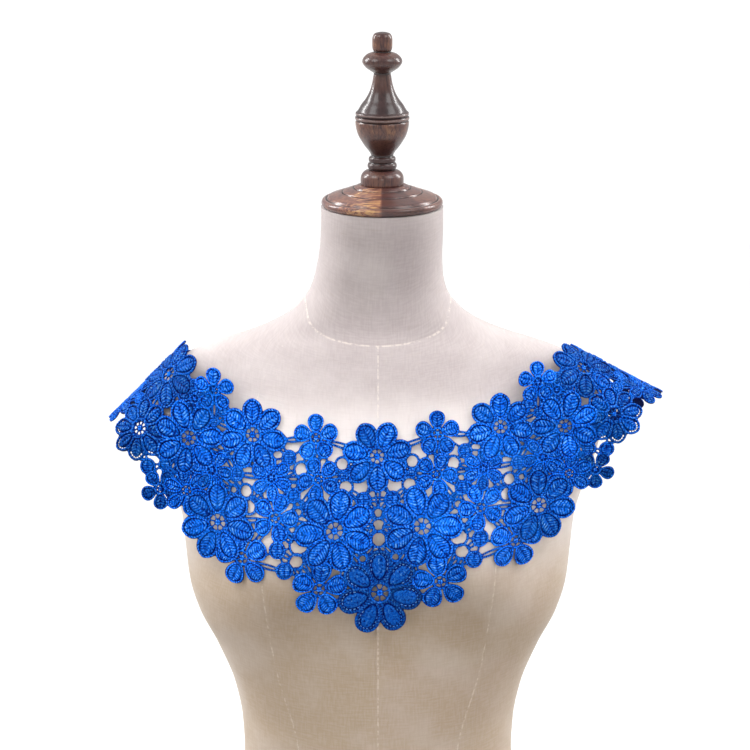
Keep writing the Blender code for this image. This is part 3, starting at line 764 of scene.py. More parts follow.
# ---- the turned wood
@dataclass
class TurnedPiece:
    """A piece turned on a lathe that stands on the neck's tilted top."""

    name: str
    profile: list[Pair]
    form: DressForm
    warmth: Sequence[Pair]
    boards: Sequence[float] = ()  # how warmly each board that it is glued up from was rubbed
    sides: int = 112
    fineness: int = 6
    step: float = 0.7
    seam_gap: float = 0.3
    bend_tint: float = 0.9  # how much a sharp bend tints the wood: darker in grooves, a painted highlight on convex edges
    crease: float = 55.0

    def smooth_profile(self) -> Array:
        """The profile with rounded beads.

        Returns:
            Radius and height along the axis, one pair a row, evenly spaced.
        """
        knots = np.array(self.profile[1:-1], float)
        ends = np.vstack([2 * knots[0] - knots[1], knots, 2 * knots[-1] - knots[-2]])
        rows = []
        for k in range(1, len(ends) - 2):
            before, a, b, after = ends[k - 1:k + 3]
            length = np.hypot(*(b - a))
            leave = (b - before) * length / (np.hypot(*(a - before)) + length)
            reach = (after - a) * length / (np.hypot(*(after - b)) + length)
            for t in np.arange(self.fineness) / self.fineness:
                rows.append((1 + 2 * t) * (1 - t) ** 2 * a + t * (1 - t) ** 2 * leave
                            + t * t * (3 - 2 * t) * b + t * t * (t - 1) * reach)
        rows.append(ends[-2])
        line = np.array(rows)
        run = run_along(line)
        at = np.linspace(0, run[-1], int(run[-1] / self.step) + 1)
        return np.stack([np.interp(at, run, line[:, k]) for k in (0, 1)], -1)

    def build(self, material: Material) -> Object:
        """Makes the turned piece.

        Args:
            material: The wood.

        Returns:
            The piece.
        """
        line = self.smooth_profile()
        turn = TURN * np.arange(self.sides) / self.sides
        middle = float(self.form.section(self.form.neck_top)[3])
        c, s = math.cos(self.form.neck_tilt), math.sin(self.form.neck_tilt)
        height = line[:, 1:] + self.seam_gap
        x, y = line[:, :1] * np.cos(turn), line[:, :1] * np.sin(turn)
        points = np.stack([x + self.form.neck_lean, middle + y * c - height * s,
                           self.form.neck_top + y * s + height * c], -1)
        lean = np.unwrap(np.arctan2(*np.gradient(line, axis=0).T))
        bend = -np.convolve(np.gradient(lean), np.ones(3) / 3, "same") / self.step
        # The bend mark: low in the grooves, which are darker, and high on sharp convex edges, which get a
        # painted highlight.
        relief = np.clip(0.5 + self.bend_tint * bend, 0, 1)
        warm = np.interp(line[:, 1], *zip(*self.warmth))[:, None] + 0 * x
        if self.boards:
            count = len(self.boards)
            board = np.floor((turn + TURN / 4) / (TURN / count)).astype(int) % count
            warm = warm * np.array(self.boards)[board]
        across, up = np.meshgrid(np.arange(self.sides + 1.0), np.arange(float(len(line))))
        shell = Shell()
        shell.add_skin(points, across, up, relief=np.repeat(relief, self.sides), tone=warm.ravel())
        return shell.build(self.name, material, crease=self.crease)


CAP_PROFILE = [
    (0, 0), (50.4, 0), (51.8, 0.9), (52.6, 2.8), (52.3, 4.9), (51.0, 6.4), (49.4, 6.8), (48.4, 5.9),
    (47.4, 7.4), (46.2, 8.9), (44.4, 9.6), (35.6, 12.4), (34.6, 11.6), (33.8, 13.2), (32.4, 13.9),
    (25.6, 16.0), (24.6, 15.2), (23.8, 16.9), (21.4, 18.2), (19.6, 18.8), (0, 18.8),
]
CAP_BOARDS = (0.3, 0.8, 1.2, 0.6, 1.0, 0.7, 1.3, 2.4)
FINIAL_PROFILE = [
    (0, 19.1), (18.2, 19.1), (18.6, 19.9), (18.6, 25.0), (17.8, 27.6), (15.4, 30.4), (12.2, 31.8),
    (10.9, 32.3), (12.2, 33.4), (12.7, 35.4), (12.1, 37.4), (10.8, 38.3), (11.4, 39.2), (11.7, 41.0),
    (11.2, 42.8), (9.6, 43.8), (10.6, 46.8), (14.9, 52.4), (18.2, 57.4), (20.8, 62.2), (22.6, 68.4),
    (23.1, 73.6), (22.2, 74.6), (23.3, 75.9), (23.3, 77.6), (22.0, 78.6), (23.0, 79.8), (22.8, 81.4),
    (21.4, 82.6), (18.0, 88.2), (14.2, 93.2), (11.0, 99.2), (9.0, 105.4), (7.7, 112.6), (7.4, 115.2),
    (9.4, 116.6), (13.8, 119.6), (16.4, 122.8), (17.2, 125.2), (16.0, 128.2), (12.8, 131.2),
    (8.6, 132.8), (7.2, 133.4), (8.3, 135.2), (8.7, 140.4), (8.4, 145.6), (6.6, 148.6), (3.0, 149.8),
    (0, 149.9),
]
# Height on the axis and how warm the stain is there.
CAP_WARMTH = [(0, 0.4), (6, 0.65), (18, 0.5)]
FINIAL_WARMTH = [(19, 0.75), (30, 0.5), (34, 0.15), (46, 0.1), (56, 0.3), (66, 0.9), (73, 0.9), (76, 0.3),
                 (84, 0.0), (98, 0.1), (108, 0.45), (116, 0.3), (122, 0.6), (127, 0.2), (134, 0.5),
                 (140, 0.9), (147, 0.4), (150, 0.0)]


# ---- how the flat collar is laid
class Fold(NamedTuple):
    """Where one arm folds over its shoulder: its side, the fold's slope and a place on it."""

    side: int
    slope: float
    across: float
    up: float


@dataclass
class Drape:
    """The settled collar: how far each flat place is lifted off the folded plane by the form."""

    form: DressForm
    pivot_up: float = 480.0
    sway: float = -0.02
    rise: float = 0.045
    rise_ease: float = 0.0003
    ease_from: float = 495.0
    ease_to: float = 600.0
    laid_y: float = -56.0
    crown: float = 54.0
    crown_reach: float = 140.0
    crown_power: int = 4
    crown_top: float = 0.25
    crown_from: float = 430.0
    crown_to: float = 550.0
    fold_radius: float = 50.0
    folds: tuple[Fold, ...] = (Fold(-1, math.radians(44.0), -167.0, 607.0),
                               Fold(1, math.radians(26.0), 164.0, 605.0))
    cell: float = 8.0
    reach: float = 304.0
    low: float = 352.0
    high: float = 704.0
    rest_gap: float = 2.0
    lifts: range = range(-40, 95)  # the lifts that are tried against the form
    rounds: int = 600
    pull: float = 0.02

    def __post_init__(self) -> None:
        """Settles the collar on the form."""
        margin = self.cell / 2
        self.across = np.arange(-self.reach, self.reach + margin, self.cell)
        self.up = np.arange(self.low, self.high + margin, self.cell)
        across, up = np.meshgrid(self.across, self.up, indexing="ij")
        place, out = self.folded(np.stack([across, up], -1))
        touch = np.full(across.shape, -math.inf)
        for lift in self.lifts:
            above = lift + self.lifts.step + self.rest_gap
            touch = np.where(self.form.holds(place + lift * out), above, touch)
        high = np.clip((up - self.crown_from) / (self.crown_to - self.crown_from), 0, 1)
        rest = self.crown * np.exp(-(np.abs(across) / self.crown_reach) ** self.crown_power)
        rest = rest * (1 - (1 - self.crown_top) * high)
        lift = np.maximum(touch, rest)
        for _ in range(self.rounds):
            lift = np.maximum(touch, (1 - self.pull) * self.around(lift) + self.pull * rest)
        self.lift = (lift + self.around(lift)) / 2

    @staticmethod
    def around(grid: Array) -> Array:
        """Mean of each place's four neighbours."""
        wide = np.pad(grid, 1, mode="edge")
        return (wide[2:, 1:-1] + wide[:-2, 1:-1] + wide[1:-1, 2:] + wide[1:-1, :-2]) / 4

    def folded(self, flat: Array) -> tuple[Array, Array]:
        """Lays flat places on a plane whose arms fold back, before the collar settles.

        Args:
            flat: Places across and up.

        Returns:
            Each place and the direction out of the collar there.
        """
        across, up = flat[..., 0], flat[..., 1]
        slope = self.rise - self.rise_ease * (np.minimum(up, self.ease_to) - self.ease_from)
        spot = np.stack([across + self.sway * (up - self.pivot_up), up + slope * across], -1)
        place = np.stack([spot[..., 0], np.full(spot.shape[:-1], self.laid_y), spot[..., 1]], -1)
        out = np.zeros_like(place)
        out[..., 1] = -1
        for fold in self.folds:
            away = np.array([fold.side * math.sin(fold.slope), math.cos(fold.slope)])
            start = away @ np.array([fold.across, fold.up]) - self.fold_radius
            over = np.where(spot[..., 0] * fold.side > 0, np.maximum(spot @ away - start, 0), 0)
            angle = np.minimum(over / self.fold_radius, math.pi)
            down = np.maximum(over - math.pi * self.fold_radius, 0)
            moved = self.fold_radius * np.sin(angle) - down - over
            place[..., 0] += away[0] * moved
            place[..., 2] += away[1] * moved
            place[..., 1] += self.fold_radius * (1 - np.cos(angle))
            turned = angle > 0
            out[..., 0] = np.where(turned, away[0] * np.sin(angle), out[..., 0])
            out[..., 2] = np.where(turned, away[1] * np.sin(angle), out[..., 2])
            out[..., 1] = np.where(turned, -np.cos(angle), out[..., 1])
        return place, out

    def lift_at(self, flat: Array) -> Array:
        """Smooth reading of the lift grid.

        Args:
            flat: Places across and up.

        Returns:
            The lift at each place.
        """
        spots = []
        for k, line in ((0, self.across), (1, self.up)):
            t = np.clip((flat[..., k] - line[0]) / self.cell, 1.001, len(line) - 2.001)
            i = t.astype(int)
            f = t - i
            spots.append((i, [(1 - f) ** 3 / 6, (3 * f ** 3 - 6 * f ** 2 + 4) / 6,
                              (-3 * f ** 3 + 3 * f ** 2 + 3 * f + 1) / 6, f ** 3 / 6]))
        (i, wi), (j, wj) = spots
        return sum(wi[a] * wj[b] * self.lift[i + a - 1, j + b - 1] for a in range(4) for b in range(4))

    def at(self, flat: Array, height: Array) -> Array:
        """Worn places of flat places, at a height off the collar's underside."""
        place, out = self.folded(flat)
        return place + out * (self.lift_at(flat) + height)[..., None]


# ---- the lace pattern
class PetalStyle(Enum):
    """How a petal's filling is stitched."""

    RIBBED = "slanting satin ribs on both halves"
    BANDED = "smooth lengthwise bands"


class Shade(Enum):
    """Painted shade: how much darker a flower's colour is made, by where it lies and turns from the
    light.
    """

    HANGING = 0.9
    SHOULDER = 0.7
    LOW_CHEST = 0.25
    CHEST = 0.05


class Cording(NamedTuple):
    """How one kind of cord is whipped."""

    half_width: float
    high: float  # its top's height, like every other height from the collar's underside
    bead: float = 2.3  # spacing of the whipping's beads
    tone: float = 0.5  # how light its colour is, mostly from 0 to 1: its dye, darkened by any painted shade
    sides: int = 6  # points of its section
    glint: float = 0.0  # how far its relief mark is raised into the pale glint colour, a painted highlight


class Filling(NamedTuple):
    """How one kind of petal or pad is filled with satin stitch."""

    inset: float  # how far it stays inside the outline
    high: float
    rib: float  # spacing of its ribs
    columns: int  # points across it
    tone: float
    style: PetalStyle = PetalStyle.RIBBED


@dataclass(frozen=True)
class FlowerWork:
    """How the flowers of one kind are stitched."""

    hub_share: float = 0.25  # radius of the ring round the middle, as a share of the flower's
    knot_share: float = 0.1  # and of the knot in the middle
    rim_half: float = 0.9
    rim_high: float = 1.85
    rim_bead: float = 2.1
    rim_sides: int = 5
    rim_step: float = 0.6
    rim_tone: float = 0.4  # how much lighter than its petal's tone; a lighter rim is partly a painted highlight on its cord
    rim_gap: float = 0.15  # between a rim cord and its filling
    style: PetalStyle = PetalStyle.RIBBED
    filling_high: float = 2.2
    filling_rib: float = 2.2
    filling_columns: int = 9
    filling_tone: float = -0.15
    filling_follows: float = 1.0  # how far its dye changes with its petal's
    ring_half: float = 0.8
    ring_tone: float = 0.9
    spoke_half: float = 0.55
    openwork: bool = False  # a row of slits between each rim cord and its filling


SMALL_WORK = FlowerWork()
LARGE_WORK = FlowerWork(hub_share=0.235, knot_share=0.075, rim_half=1.05, rim_high=2.15, rim_bead=2.5,
                        rim_sides=6, rim_step=0.47, rim_tone=0.1, rim_gap=0.4, filling_high=2.6,
                        filling_rib=2.6, filling_columns=13, filling_tone=-0.05, ring_half=1.1,
                        ring_tone=0.6)
ARM_WORK = replace(LARGE_WORK, hub_share=0.29, rim_gap=1.0, ring_half=0.8, spoke_half=0.4, openwork=True)
POINT_WORK = replace(LARGE_WORK, rim_half=1.55, rim_gap=1.0, rim_tone=-0.35, style=PetalStyle.BANDED,
                     filling_tone=-0.45, filling_follows=0.0)
LARGE_ABOVE = 24.0  # radius
POINT_BELOW = 430.0  # the large flowers below this hang free at the collar's point
ARM_BEYOND = 195.0  # the large flowers farther out than this hang free beside an arm
SHADED_BEYOND = 180.0
SHOULDER_BEYOND = 145.0
SHOULDER_ABOVE = 555.0
LOW_BELOW = 500.0


class Motif(NamedTuple):
    """A flower, dot or ring of the flat pattern. Dots have one petal and rings none."""

    across: float
    up: float
    radius: float
    petals: int = 0
    turn: float = 0.0

    @property
    def middle(self) -> Array:
        """Its flat place."""
        return np.array([self.across, self.up], float)

    @property
    def large(self) -> bool:
        """Whether it is one of the large flowers."""
        return self.radius > LARGE_ABOVE

    @property
    def work(self) -> FlowerWork:
        """How it is stitched.

        Returns:
            The work of its kind.
        """
        if not self.large:
            return SMALL_WORK
        if abs(self.across) > ARM_BEYOND:
            return ARM_WORK
        return POINT_WORK if self.up < POINT_BELOW else LARGE_WORK

    @property
    def shade(self) -> Shade:
        """How much painted shade darkens its colour, which is most at the shoulders, the arms and the
        point.

        Returns:
            The shade of its place.
        """
        aside = abs(self.across)
        if self.work in (ARM_WORK, POINT_WORK) or aside > SHADED_BEYOND:
            return Shade.HANGING
        if aside > SHOULDER_BEYOND and self.up > SHOULDER_ABOVE:
            return Shade.SHOULDER
        return Shade.LOW_CHEST if self.large and self.up < LOW_BELOW else Shade.CHEST

    @property
    def hub(self) -> float:
        """Radius of the ring round its middle."""
        return self.radius * self.work.hub_share

    @property
    def knot(self) -> float:
        """Radius of the knot in its middle."""
        return self.radius * self.work.knot_share


FLOWERS = [Motif(*row) for row in (
    (0, 521, 30, 7, -90), (0, 408.5, 36, 7, 90), (37, 462.5, 34.5, 7, 0),
    (105.5, 541, 29.5, 7, 90), (137, 470, 33, 7, 90),
    (161, 538, 30.5, 7, 75), (204, 545.5, 26.5, 8, -82),
    (181.5, 590.5, 30, 7, 60), (49.5, 505, 17.5, 5, 68), (89.5, 507.5, 17.5, 6, 25),
    (86.5, 476.5, 19, 5, 39), (116, 443, 23, 5, 8), (51, 415.5, 23, 5, 28),
    (141.5, 512, 18, 6, 10), (164, 495, 20, 6, 20),
    (51.5, 538, 18.5, 5, 90), (137.5, 576.5, 16.5, 5, 92),
    (187, 496.5, 16.5, 5, -90), (154, 569, 15, 5, 160),
    (237.5, 576, 19, 6, 40), (224.5, 626, 29, 7, 55),
    (267, 628.5, 19, 5, 20), (246.5, 664.5, 20, 6, 75),
    (282, 656.5, 15, 5, 40), (260, 600.5, 14.5, 5, 75),
)]
DOTS = [Motif(*row) for row in (
    (12.2, 485.5, 7, 1), (74.4, 523, 6.4, 1), (70.9, 493.6, 6.2, 1),
    (119.4, 509.7, 6.2, 1), (85.1, 451.5, 7.2, 1), (79.3, 434.5, 7.4, 1),
    (130.6, 560.3, 6, 1), (182, 516.5, 6, 1), (193, 629, 7, 1),
    (218.5, 588.5, 7, 1), (240.5, 601, 5.5, 1), (211, 573, 5.5, 1),
    (197, 515, 6.8, 1), (80.5, 536.5, 4.6, 1), (45.5, 527.5, 4, 1),
    (129.5, 525, 4.2, 1), (29, 506.5, 4.2, 1), (138.5, 551.5, 4.4, 1),
)]
RINGS = [Motif(*row) for row in (
    (13.8, 438, 3.6), (67.3, 480.5, 3.8), (122.5, 497, 3.6),
    (0, 474.6, 4.6), (0, 465, 5.4), (0, 453, 6.4), (66.6, 454.4, 8),
    (69.4, 441.4, 6.2), (109, 484.5, 6), (111.5, 496.5, 5.6),
    (64, 513.5, 6), (27, 497, 6), (29.5, 516, 5.6),
    (107, 520.5, 4.2), (113, 468.5, 4), (153, 525, 3.8),
    (72.5, 467.5, 3.8),
)]


def both_sides(table: Sequence[Motif]) -> list[Motif]:
    """The half pattern and its mirror image.

    Args:
        table: The motifs of the middle and of one side.

    Returns:
        Each motif, followed by its mirror image unless it is on the middle line.
    """
    rows: list[Motif] = []
    for row in table:
        rows.append(row)
        if row.across:
            rows.append(row._replace(across=-row.across, turn=180 - row.turn))
    return rows


def along_bar(flat: Array, start: Array, end: Array) -> Array:
    """Distance of flat places from a straight cord's middle line.

    Args:
        flat: The places.
        start: The cord's start.
        end: Its end.

    Returns:
        The distances.
    """
    line = end - start
    t = np.clip(((flat - start) @ line) / (line @ line), 0, 1)
    return np.linalg.norm(flat - start - t[..., None] * line, axis=-1)


class Petal(NamedTuple):
    """One egg-shaped petal in the flat pattern, wider towards its tip."""

    middle: Array
    way: Array
    half_length: float
    half_width: float
    swell: float = 0.0
    point: float = 0.0

    @property
    def left(self) -> Array:
        """Direction across the petal."""
        return np.array([-self.way[1], self.way[0]])

    def power(self, along: Array) -> Array:
        """How roundly the outline closes there: a half is an ellipse, and more is pointed."""
        return 0.5 + self.point * (1 + along) / 4

    def breadth(self, along: Array) -> Array:
        """Share of the half width at a place from -1, the base, to 1, the tip."""
        return (1 + self.swell * along) * np.maximum(1 - along ** 2, 0) ** self.power(along)

    def rim(self, inset: float, angle: Array) -> Array:
        """Points on the petal's outline moved inwards; angle 0 is the tip."""
        aside = (self.half_width - inset) * self.breadth(np.cos(angle)) * np.sign(np.sin(angle))
        return self.place((self.half_length - inset) * np.cos(angle), aside)

    def place(self, along: Array, aside: Array) -> Array:
        """Flat places from the petal's own coordinates."""
        return self.middle + along[..., None] * self.way + aside[..., None] * self.left

    def outside(self, flat: Array) -> Array:
        """Rough distance of flat places outside the outline.

        Args:
            flat: The places.

        Returns:
            The distances, negative inside.
        """
        off = flat - self.middle
        along = off @ self.way / self.half_length
        inner = np.clip(along, -1, 1)
        aside = np.abs(off @ self.left) / (self.half_width * (1 + self.swell * inner))
        reach = np.sqrt(along ** 2 + aside ** (1 / self.power(inner)))
        return (reach - 1) * min(self.half_length, self.half_width)


def disc(motif: Motif, radius: float) -> Petal:
    """A round pad in the middle of a motif."""
    return Petal(motif.middle, np.array([0.0, 1.0]), radius, radius)


@dataclass
class Pattern:
    """The flat lace pattern: motifs and the cords that tie them."""

    petal_from: float = 0.20
    petal_width: float = 0.29
    five_petal_width: float = 0.35
    small_growth: float = 1.04
    petal_swell: float = 0.27
    petal_point: float = 0.35
    small_point: float = 0.3  # a small petal's point, as a share of a large one's
    bride_reach: float = 12.0
    bride_half: float = 0.9
    bride_clear: float = 0.85
    bride_apart: float = 2.8
    ring_overlap: float = 0.45
    motif_overlap: float = 0.55  # as a share of the motif's radius
    seen_points: int = 13
    seen_reach: float = 1.1
    tie_reach: float = 5.2
    tie_least: float = 0.5
    tie_apart: float = 2.0
    tie_clear: float = 0.3
    tip_angle: float = 1.7  # ties start this near a petal's tip, in radians
    tip_points: int = 11
    round_points: int = 12
    into: float = 1.3
    paired_from: float = 4.5
    pair_apart: float = 1.7
    bows: Pair = (0.05, 0.12)  # shares of a cord's length
    bow_power: float = 0.7
    cord_step: float = 0.9
    least_steps: int = 3
    seed: int = 5

    def __post_init__(self) -> None:
        """Lists the motifs of both sides and the cords that tie them."""
        self.flowers, self.dots, self.rings = both_sides(FLOWERS), both_sides(DOTS), both_sides(RINGS)
        self.motifs = self.flowers + self.dots + self.rings
        self.cords = self.bowed_cords()

    def petals(self, flower: Motif) -> Iterator[Petal]:
        """The petals of one flower, or a dot's one round pad.

        Args:
            flower: The flower, dot or ring.

        Returns:
            Its petals, one after another.
        """
        if flower.petals < 2:
            yield disc(flower, flower.radius)
            return
        radius = flower.radius * (1 if flower.large else self.small_growth)
        width = radius * (self.five_petal_width if flower.petals == 5 else self.petal_width)
        point = self.petal_point if flower.work.style is PetalStyle.RIBBED else 0.0
        for k in range(flower.petals):
            angle = math.radians(flower.turn + 360 * k / flower.petals)
            way = np.array([math.cos(angle), math.sin(angle)])
            reach = radius * (1 + self.petal_from) / 2
            yield Petal(flower.middle + reach * way, way, radius * (1 - self.petal_from) / 2,
                        width, self.petal_swell, point if flower.large else self.small_point * point)

    def brides(self) -> list[tuple[Array, Array]]:
        """The straight cords that tie each motif to its near neighbours, past no third motif.

        Returns:
            Each cord's start and end, the shortest first.
        """
        middles = np.array([m.middle for m in self.motifs])
        radii = np.array([m.radius for m in self.motifs])
        found = []
        for i, a in enumerate(self.motifs):
            for j in range(i + 1, len(self.motifs)):
                apart = np.hypot(*(middles[i] - middles[j]))
                if apart - radii[i] - radii[j] >= self.bride_reach:
                    continue
                way = (middles[j] - middles[i]) / np.linalg.norm(middles[j] - middles[i])
                inner = [m.radius * self.motif_overlap if m.petals else m.radius - self.ring_overlap
                         for m in (a, self.motifs[j])]
                start, end = middles[i] + way * inner[0], middles[j] - way * inner[1]
                room = along_bar(middles, start, end) - self.bride_half - self.bride_clear * radii
                room[[i, j]] = 1
                if room.min() > 0:
                    found.append((start, end))
        kept: list[tuple[Array, Array]] = []
        for start, end in sorted(found, key=lambda cord: float(np.hypot(*(cord[1] - cord[0])))):
            if all(along_bar((start + end) / 2, *cord) > self.bride_apart for cord in kept):
                kept.append((start, end))
        return kept

    def seen(self, start: Array, end: Array) -> float:
        """Length of a straight cord that no petal hides.

        Args:
            start: The cord's start.
            end: Its end.

        Returns:
            The length in mm.
        """
        length = np.hypot(*(end - start))
        line = start + np.linspace(0, 1, self.seen_points)[:, None] * (end - start)
        free = np.ones(self.seen_points, bool)
        for motif in self.flowers + self.dots:
            away = np.hypot(*(motif.middle - line[self.seen_points // 2]))
            if away < motif.radius * self.seen_reach + length / 2:
                for petal in self.petals(motif):
                    free &= petal.outside(line) > 0
        return float(length * free.mean())

    def ties(self) -> list[tuple[Array, Array]]:
        """The short cords between neighbouring petal tips, beside no longer cord.

        Returns:
            Each cord's start and end.
        """
        long_cords = self.brides()
        tip = np.linspace(-self.tip_angle, self.tip_angle, self.tip_points)
        round_it = np.linspace(0, TURN, self.round_points + 1)[:-1]
        shapes = [(k, petal, petal.rim(0, tip if motif.petals > 1 else round_it))
                  for k, motif in enumerate(self.motifs) for petal in self.petals(motif)]
        found = []
        for i, (k, petal, rim) in enumerate(shapes):
            for m, other, far in shapes[i + 1:]:
                apart = np.hypot(*(petal.middle - other.middle))
                if m == k or apart > petal.half_length + other.half_length + self.tie_reach:
                    continue
                gaps = np.linalg.norm(rim[:, None] - far[None], axis=-1)
                a, b = np.unravel_index(np.argmin(gaps), gaps.shape)
                if not self.tie_least < gaps[a, b] < self.tie_reach or other.outside(rim).min() < 0:
                    continue
                way = (far[b] - rim[a]) / gaps[a, b]
                halfway = (rim[a] + far[b]) / 2
                beside = any(along_bar(halfway, *cord) < self.tie_apart for cord in long_cords)
                if not beside and all(third.outside(halfway) > self.tie_clear
                                      for n, third, _ in shapes if n not in (k, m)):
                    found.append((rim[a] - way * self.into, far[b] + way * self.into))
        return found

    def bowed_cords(self) -> list[Array]:
        """Every tying cord as a line that bows a little; the long ones come in pairs.

        Returns:
            The lines, each as points from one end to the other.
        """
        random = np.random.RandomState(self.seed)
        lines = []
        for start, end in self.brides() + self.ties():
            length = np.hypot(*(end - start))
            t = np.linspace(0, 1, max(int(length / self.cord_step), self.least_steps) + 1)[:, None]
            left = np.array([start[1] - end[1], end[0] - start[0]]) / length
            side = random.choice([-1, 1])
            bows = [side * random.uniform(*self.bows) * length]
            if self.seen(start, end) > self.paired_from:
                bows = [side * self.pair_apart, -side * self.pair_apart]
            arch = (4 * t * (1 - t)) ** self.bow_power
            lines += [start + t * (end - start) + bow * arch * left for bow in bows]
        return lines


# For each pattern of a cell's corners that lie in the thread, the sides (below, right, above, left)
# at which the outline enters and leaves, with the thread on its right.
CELL_SIDES = {
    1: [(3, 0)], 2: [(0, 1)], 3: [(3, 1)], 4: [(1, 2)], 6: [(0, 2)], 7: [(3, 2)], 8: [(2, 3)],
    9: [(2, 0)], 11: [(2, 1)], 12: [(1, 3)], 13: [(1, 0)], 14: [(0, 3)],
    5: [(3, 0), (1, 2)], 10: [(0, 1), (2, 3)],
}


@dataclass
class Ground:
    """The stitched ground under the relief: one flat field, joined from the motifs' shapes."""

    drape: Drape
    cell: float = 0.7
    spare: float = 0.1  # how far the field may pass the drape's ends
    fillet: float = 0.5  # how softly shapes that meet run into each other
    petal_inset: float = 0.1
    hoop_half: float = 0.75
    cord_half: float = 0.6
    spoke_half: float = 0.45
    margin: float = 3.0  # how far past its edge a shape is laid, like the next
    hoop_margin: float = 4.0
    steepest: float = 40.0
    nothing: float = 1e-9
    least_distance: float = 1e-6

    def __post_init__(self) -> None:
        """Starts an empty field."""
        drape = self.drape
        self.across = np.arange(-drape.reach, drape.reach + self.spare, self.cell)
        self.up = np.arange(drape.low, drape.high + self.spare, self.cell)
        self.flat = np.stack(np.meshgrid(self.across, self.up, indexing="ij"), -1)
        self.weight = np.full(self.flat.shape[:2], self.nothing)

    def join(self, centre: Array, reach: float, shape: Callable[[Array], Array]) -> None:
        """Lays one shape into the field, in the window that it reaches.

        Args:
            centre: The shape's middle.
            reach: How far it reaches from there.
            shape: Gives the distance of flat places outside it.
        """
        window = []
        for k, line in ((0, self.across), (1, self.up)):
            low = max(int((centre[k] - reach - line[0]) / self.cell), 0)
            high = min(int((centre[k] + reach - line[0]) / self.cell) + 2, len(line))
            window.append(slice(low, high))
        part = tuple(window)
        steps = np.clip(shape(self.flat[part]) / self.fillet, -self.steepest, self.steepest)
        self.weight[part] += np.exp(-steps)

    def join_petal(self, petal: Petal) -> None:
        """Lays a petal into the field."""
        self.join(petal.middle, petal.half_length + self.margin,
                  lambda flat: petal.outside(flat) + self.petal_inset)

    def join_hoop(self, middle: Array, radius: float, knot: float = 0.0) -> None:
        """Lays a ring into the field, with the knot inside it.

        Args:
            middle: The ring's middle.
            radius: Its radius.
            knot: The knot's radius.
        """
        def shape(flat: Array) -> Array:
            """Distance outside the ring and the knot."""
            away = np.linalg.norm(flat - middle, axis=-1)
            return np.minimum(np.abs(away - radius) - self.hoop_half, away - knot)

        self.join(middle, radius + self.hoop_margin, shape)

    def join_cord(self, line: Array, half: float) -> None:
        """Lays a cord of a half width into the field.

        Args:
            line: The cord's middle line.
            half: Half its width.
        """
        def shape(flat: Array) -> Array:
            """Distance outside the cord."""
            return np.min([along_bar(flat, a, b) for a, b in zip(line[:-1], line[1:])], axis=0) - half

        middle = line.mean(0)
        self.join(middle, np.linalg.norm(line - middle, axis=1).max() + self.margin, shape)

    def loops(self) -> list[Array]:
        """Closed outlines of the thread, found by walking the field's cells.

        Returns:
            The outlines, each as points.
        """
        outside = -self.fillet * np.log(self.weight)
        outside = np.where(np.abs(outside) < self.least_distance, self.least_distance, outside)
        inside = outside < 0
        code = inside[:-1, :-1] * 1 + inside[1:, :-1] * 2 + inside[1:, 1:] * 4 + inside[:-1, 1:] * 8
        follows, spots = {}, {}
        for i, j in zip(*np.nonzero((code > 0) & (code < 15))):
            sides = (((i, j), (i + 1, j)), ((i + 1, j), (i + 1, j + 1)),
                     ((i, j + 1), (i + 1, j + 1)), ((i, j), (i, j + 1)))
            for first, last in CELL_SIDES[int(code[i, j])]:
                for a, b in (sides[first], sides[last]):
                    if (a, b) not in spots:
                        t = outside[a] / (outside[a] - outside[b])
                        spots[(a, b)] = self.flat[a] * (1 - t) + self.flat[b] * t
                follows[sides[first]] = sides[last]
        loops = []
        while follows:
            here = next(iter(follows))
            loop = []
            while here in follows:
                loop.append(spots[here])
                here = follows.pop(here)
            loops.append(np.array(loop))
        return loops


LEAST_POINTS = 12  # of a round outline


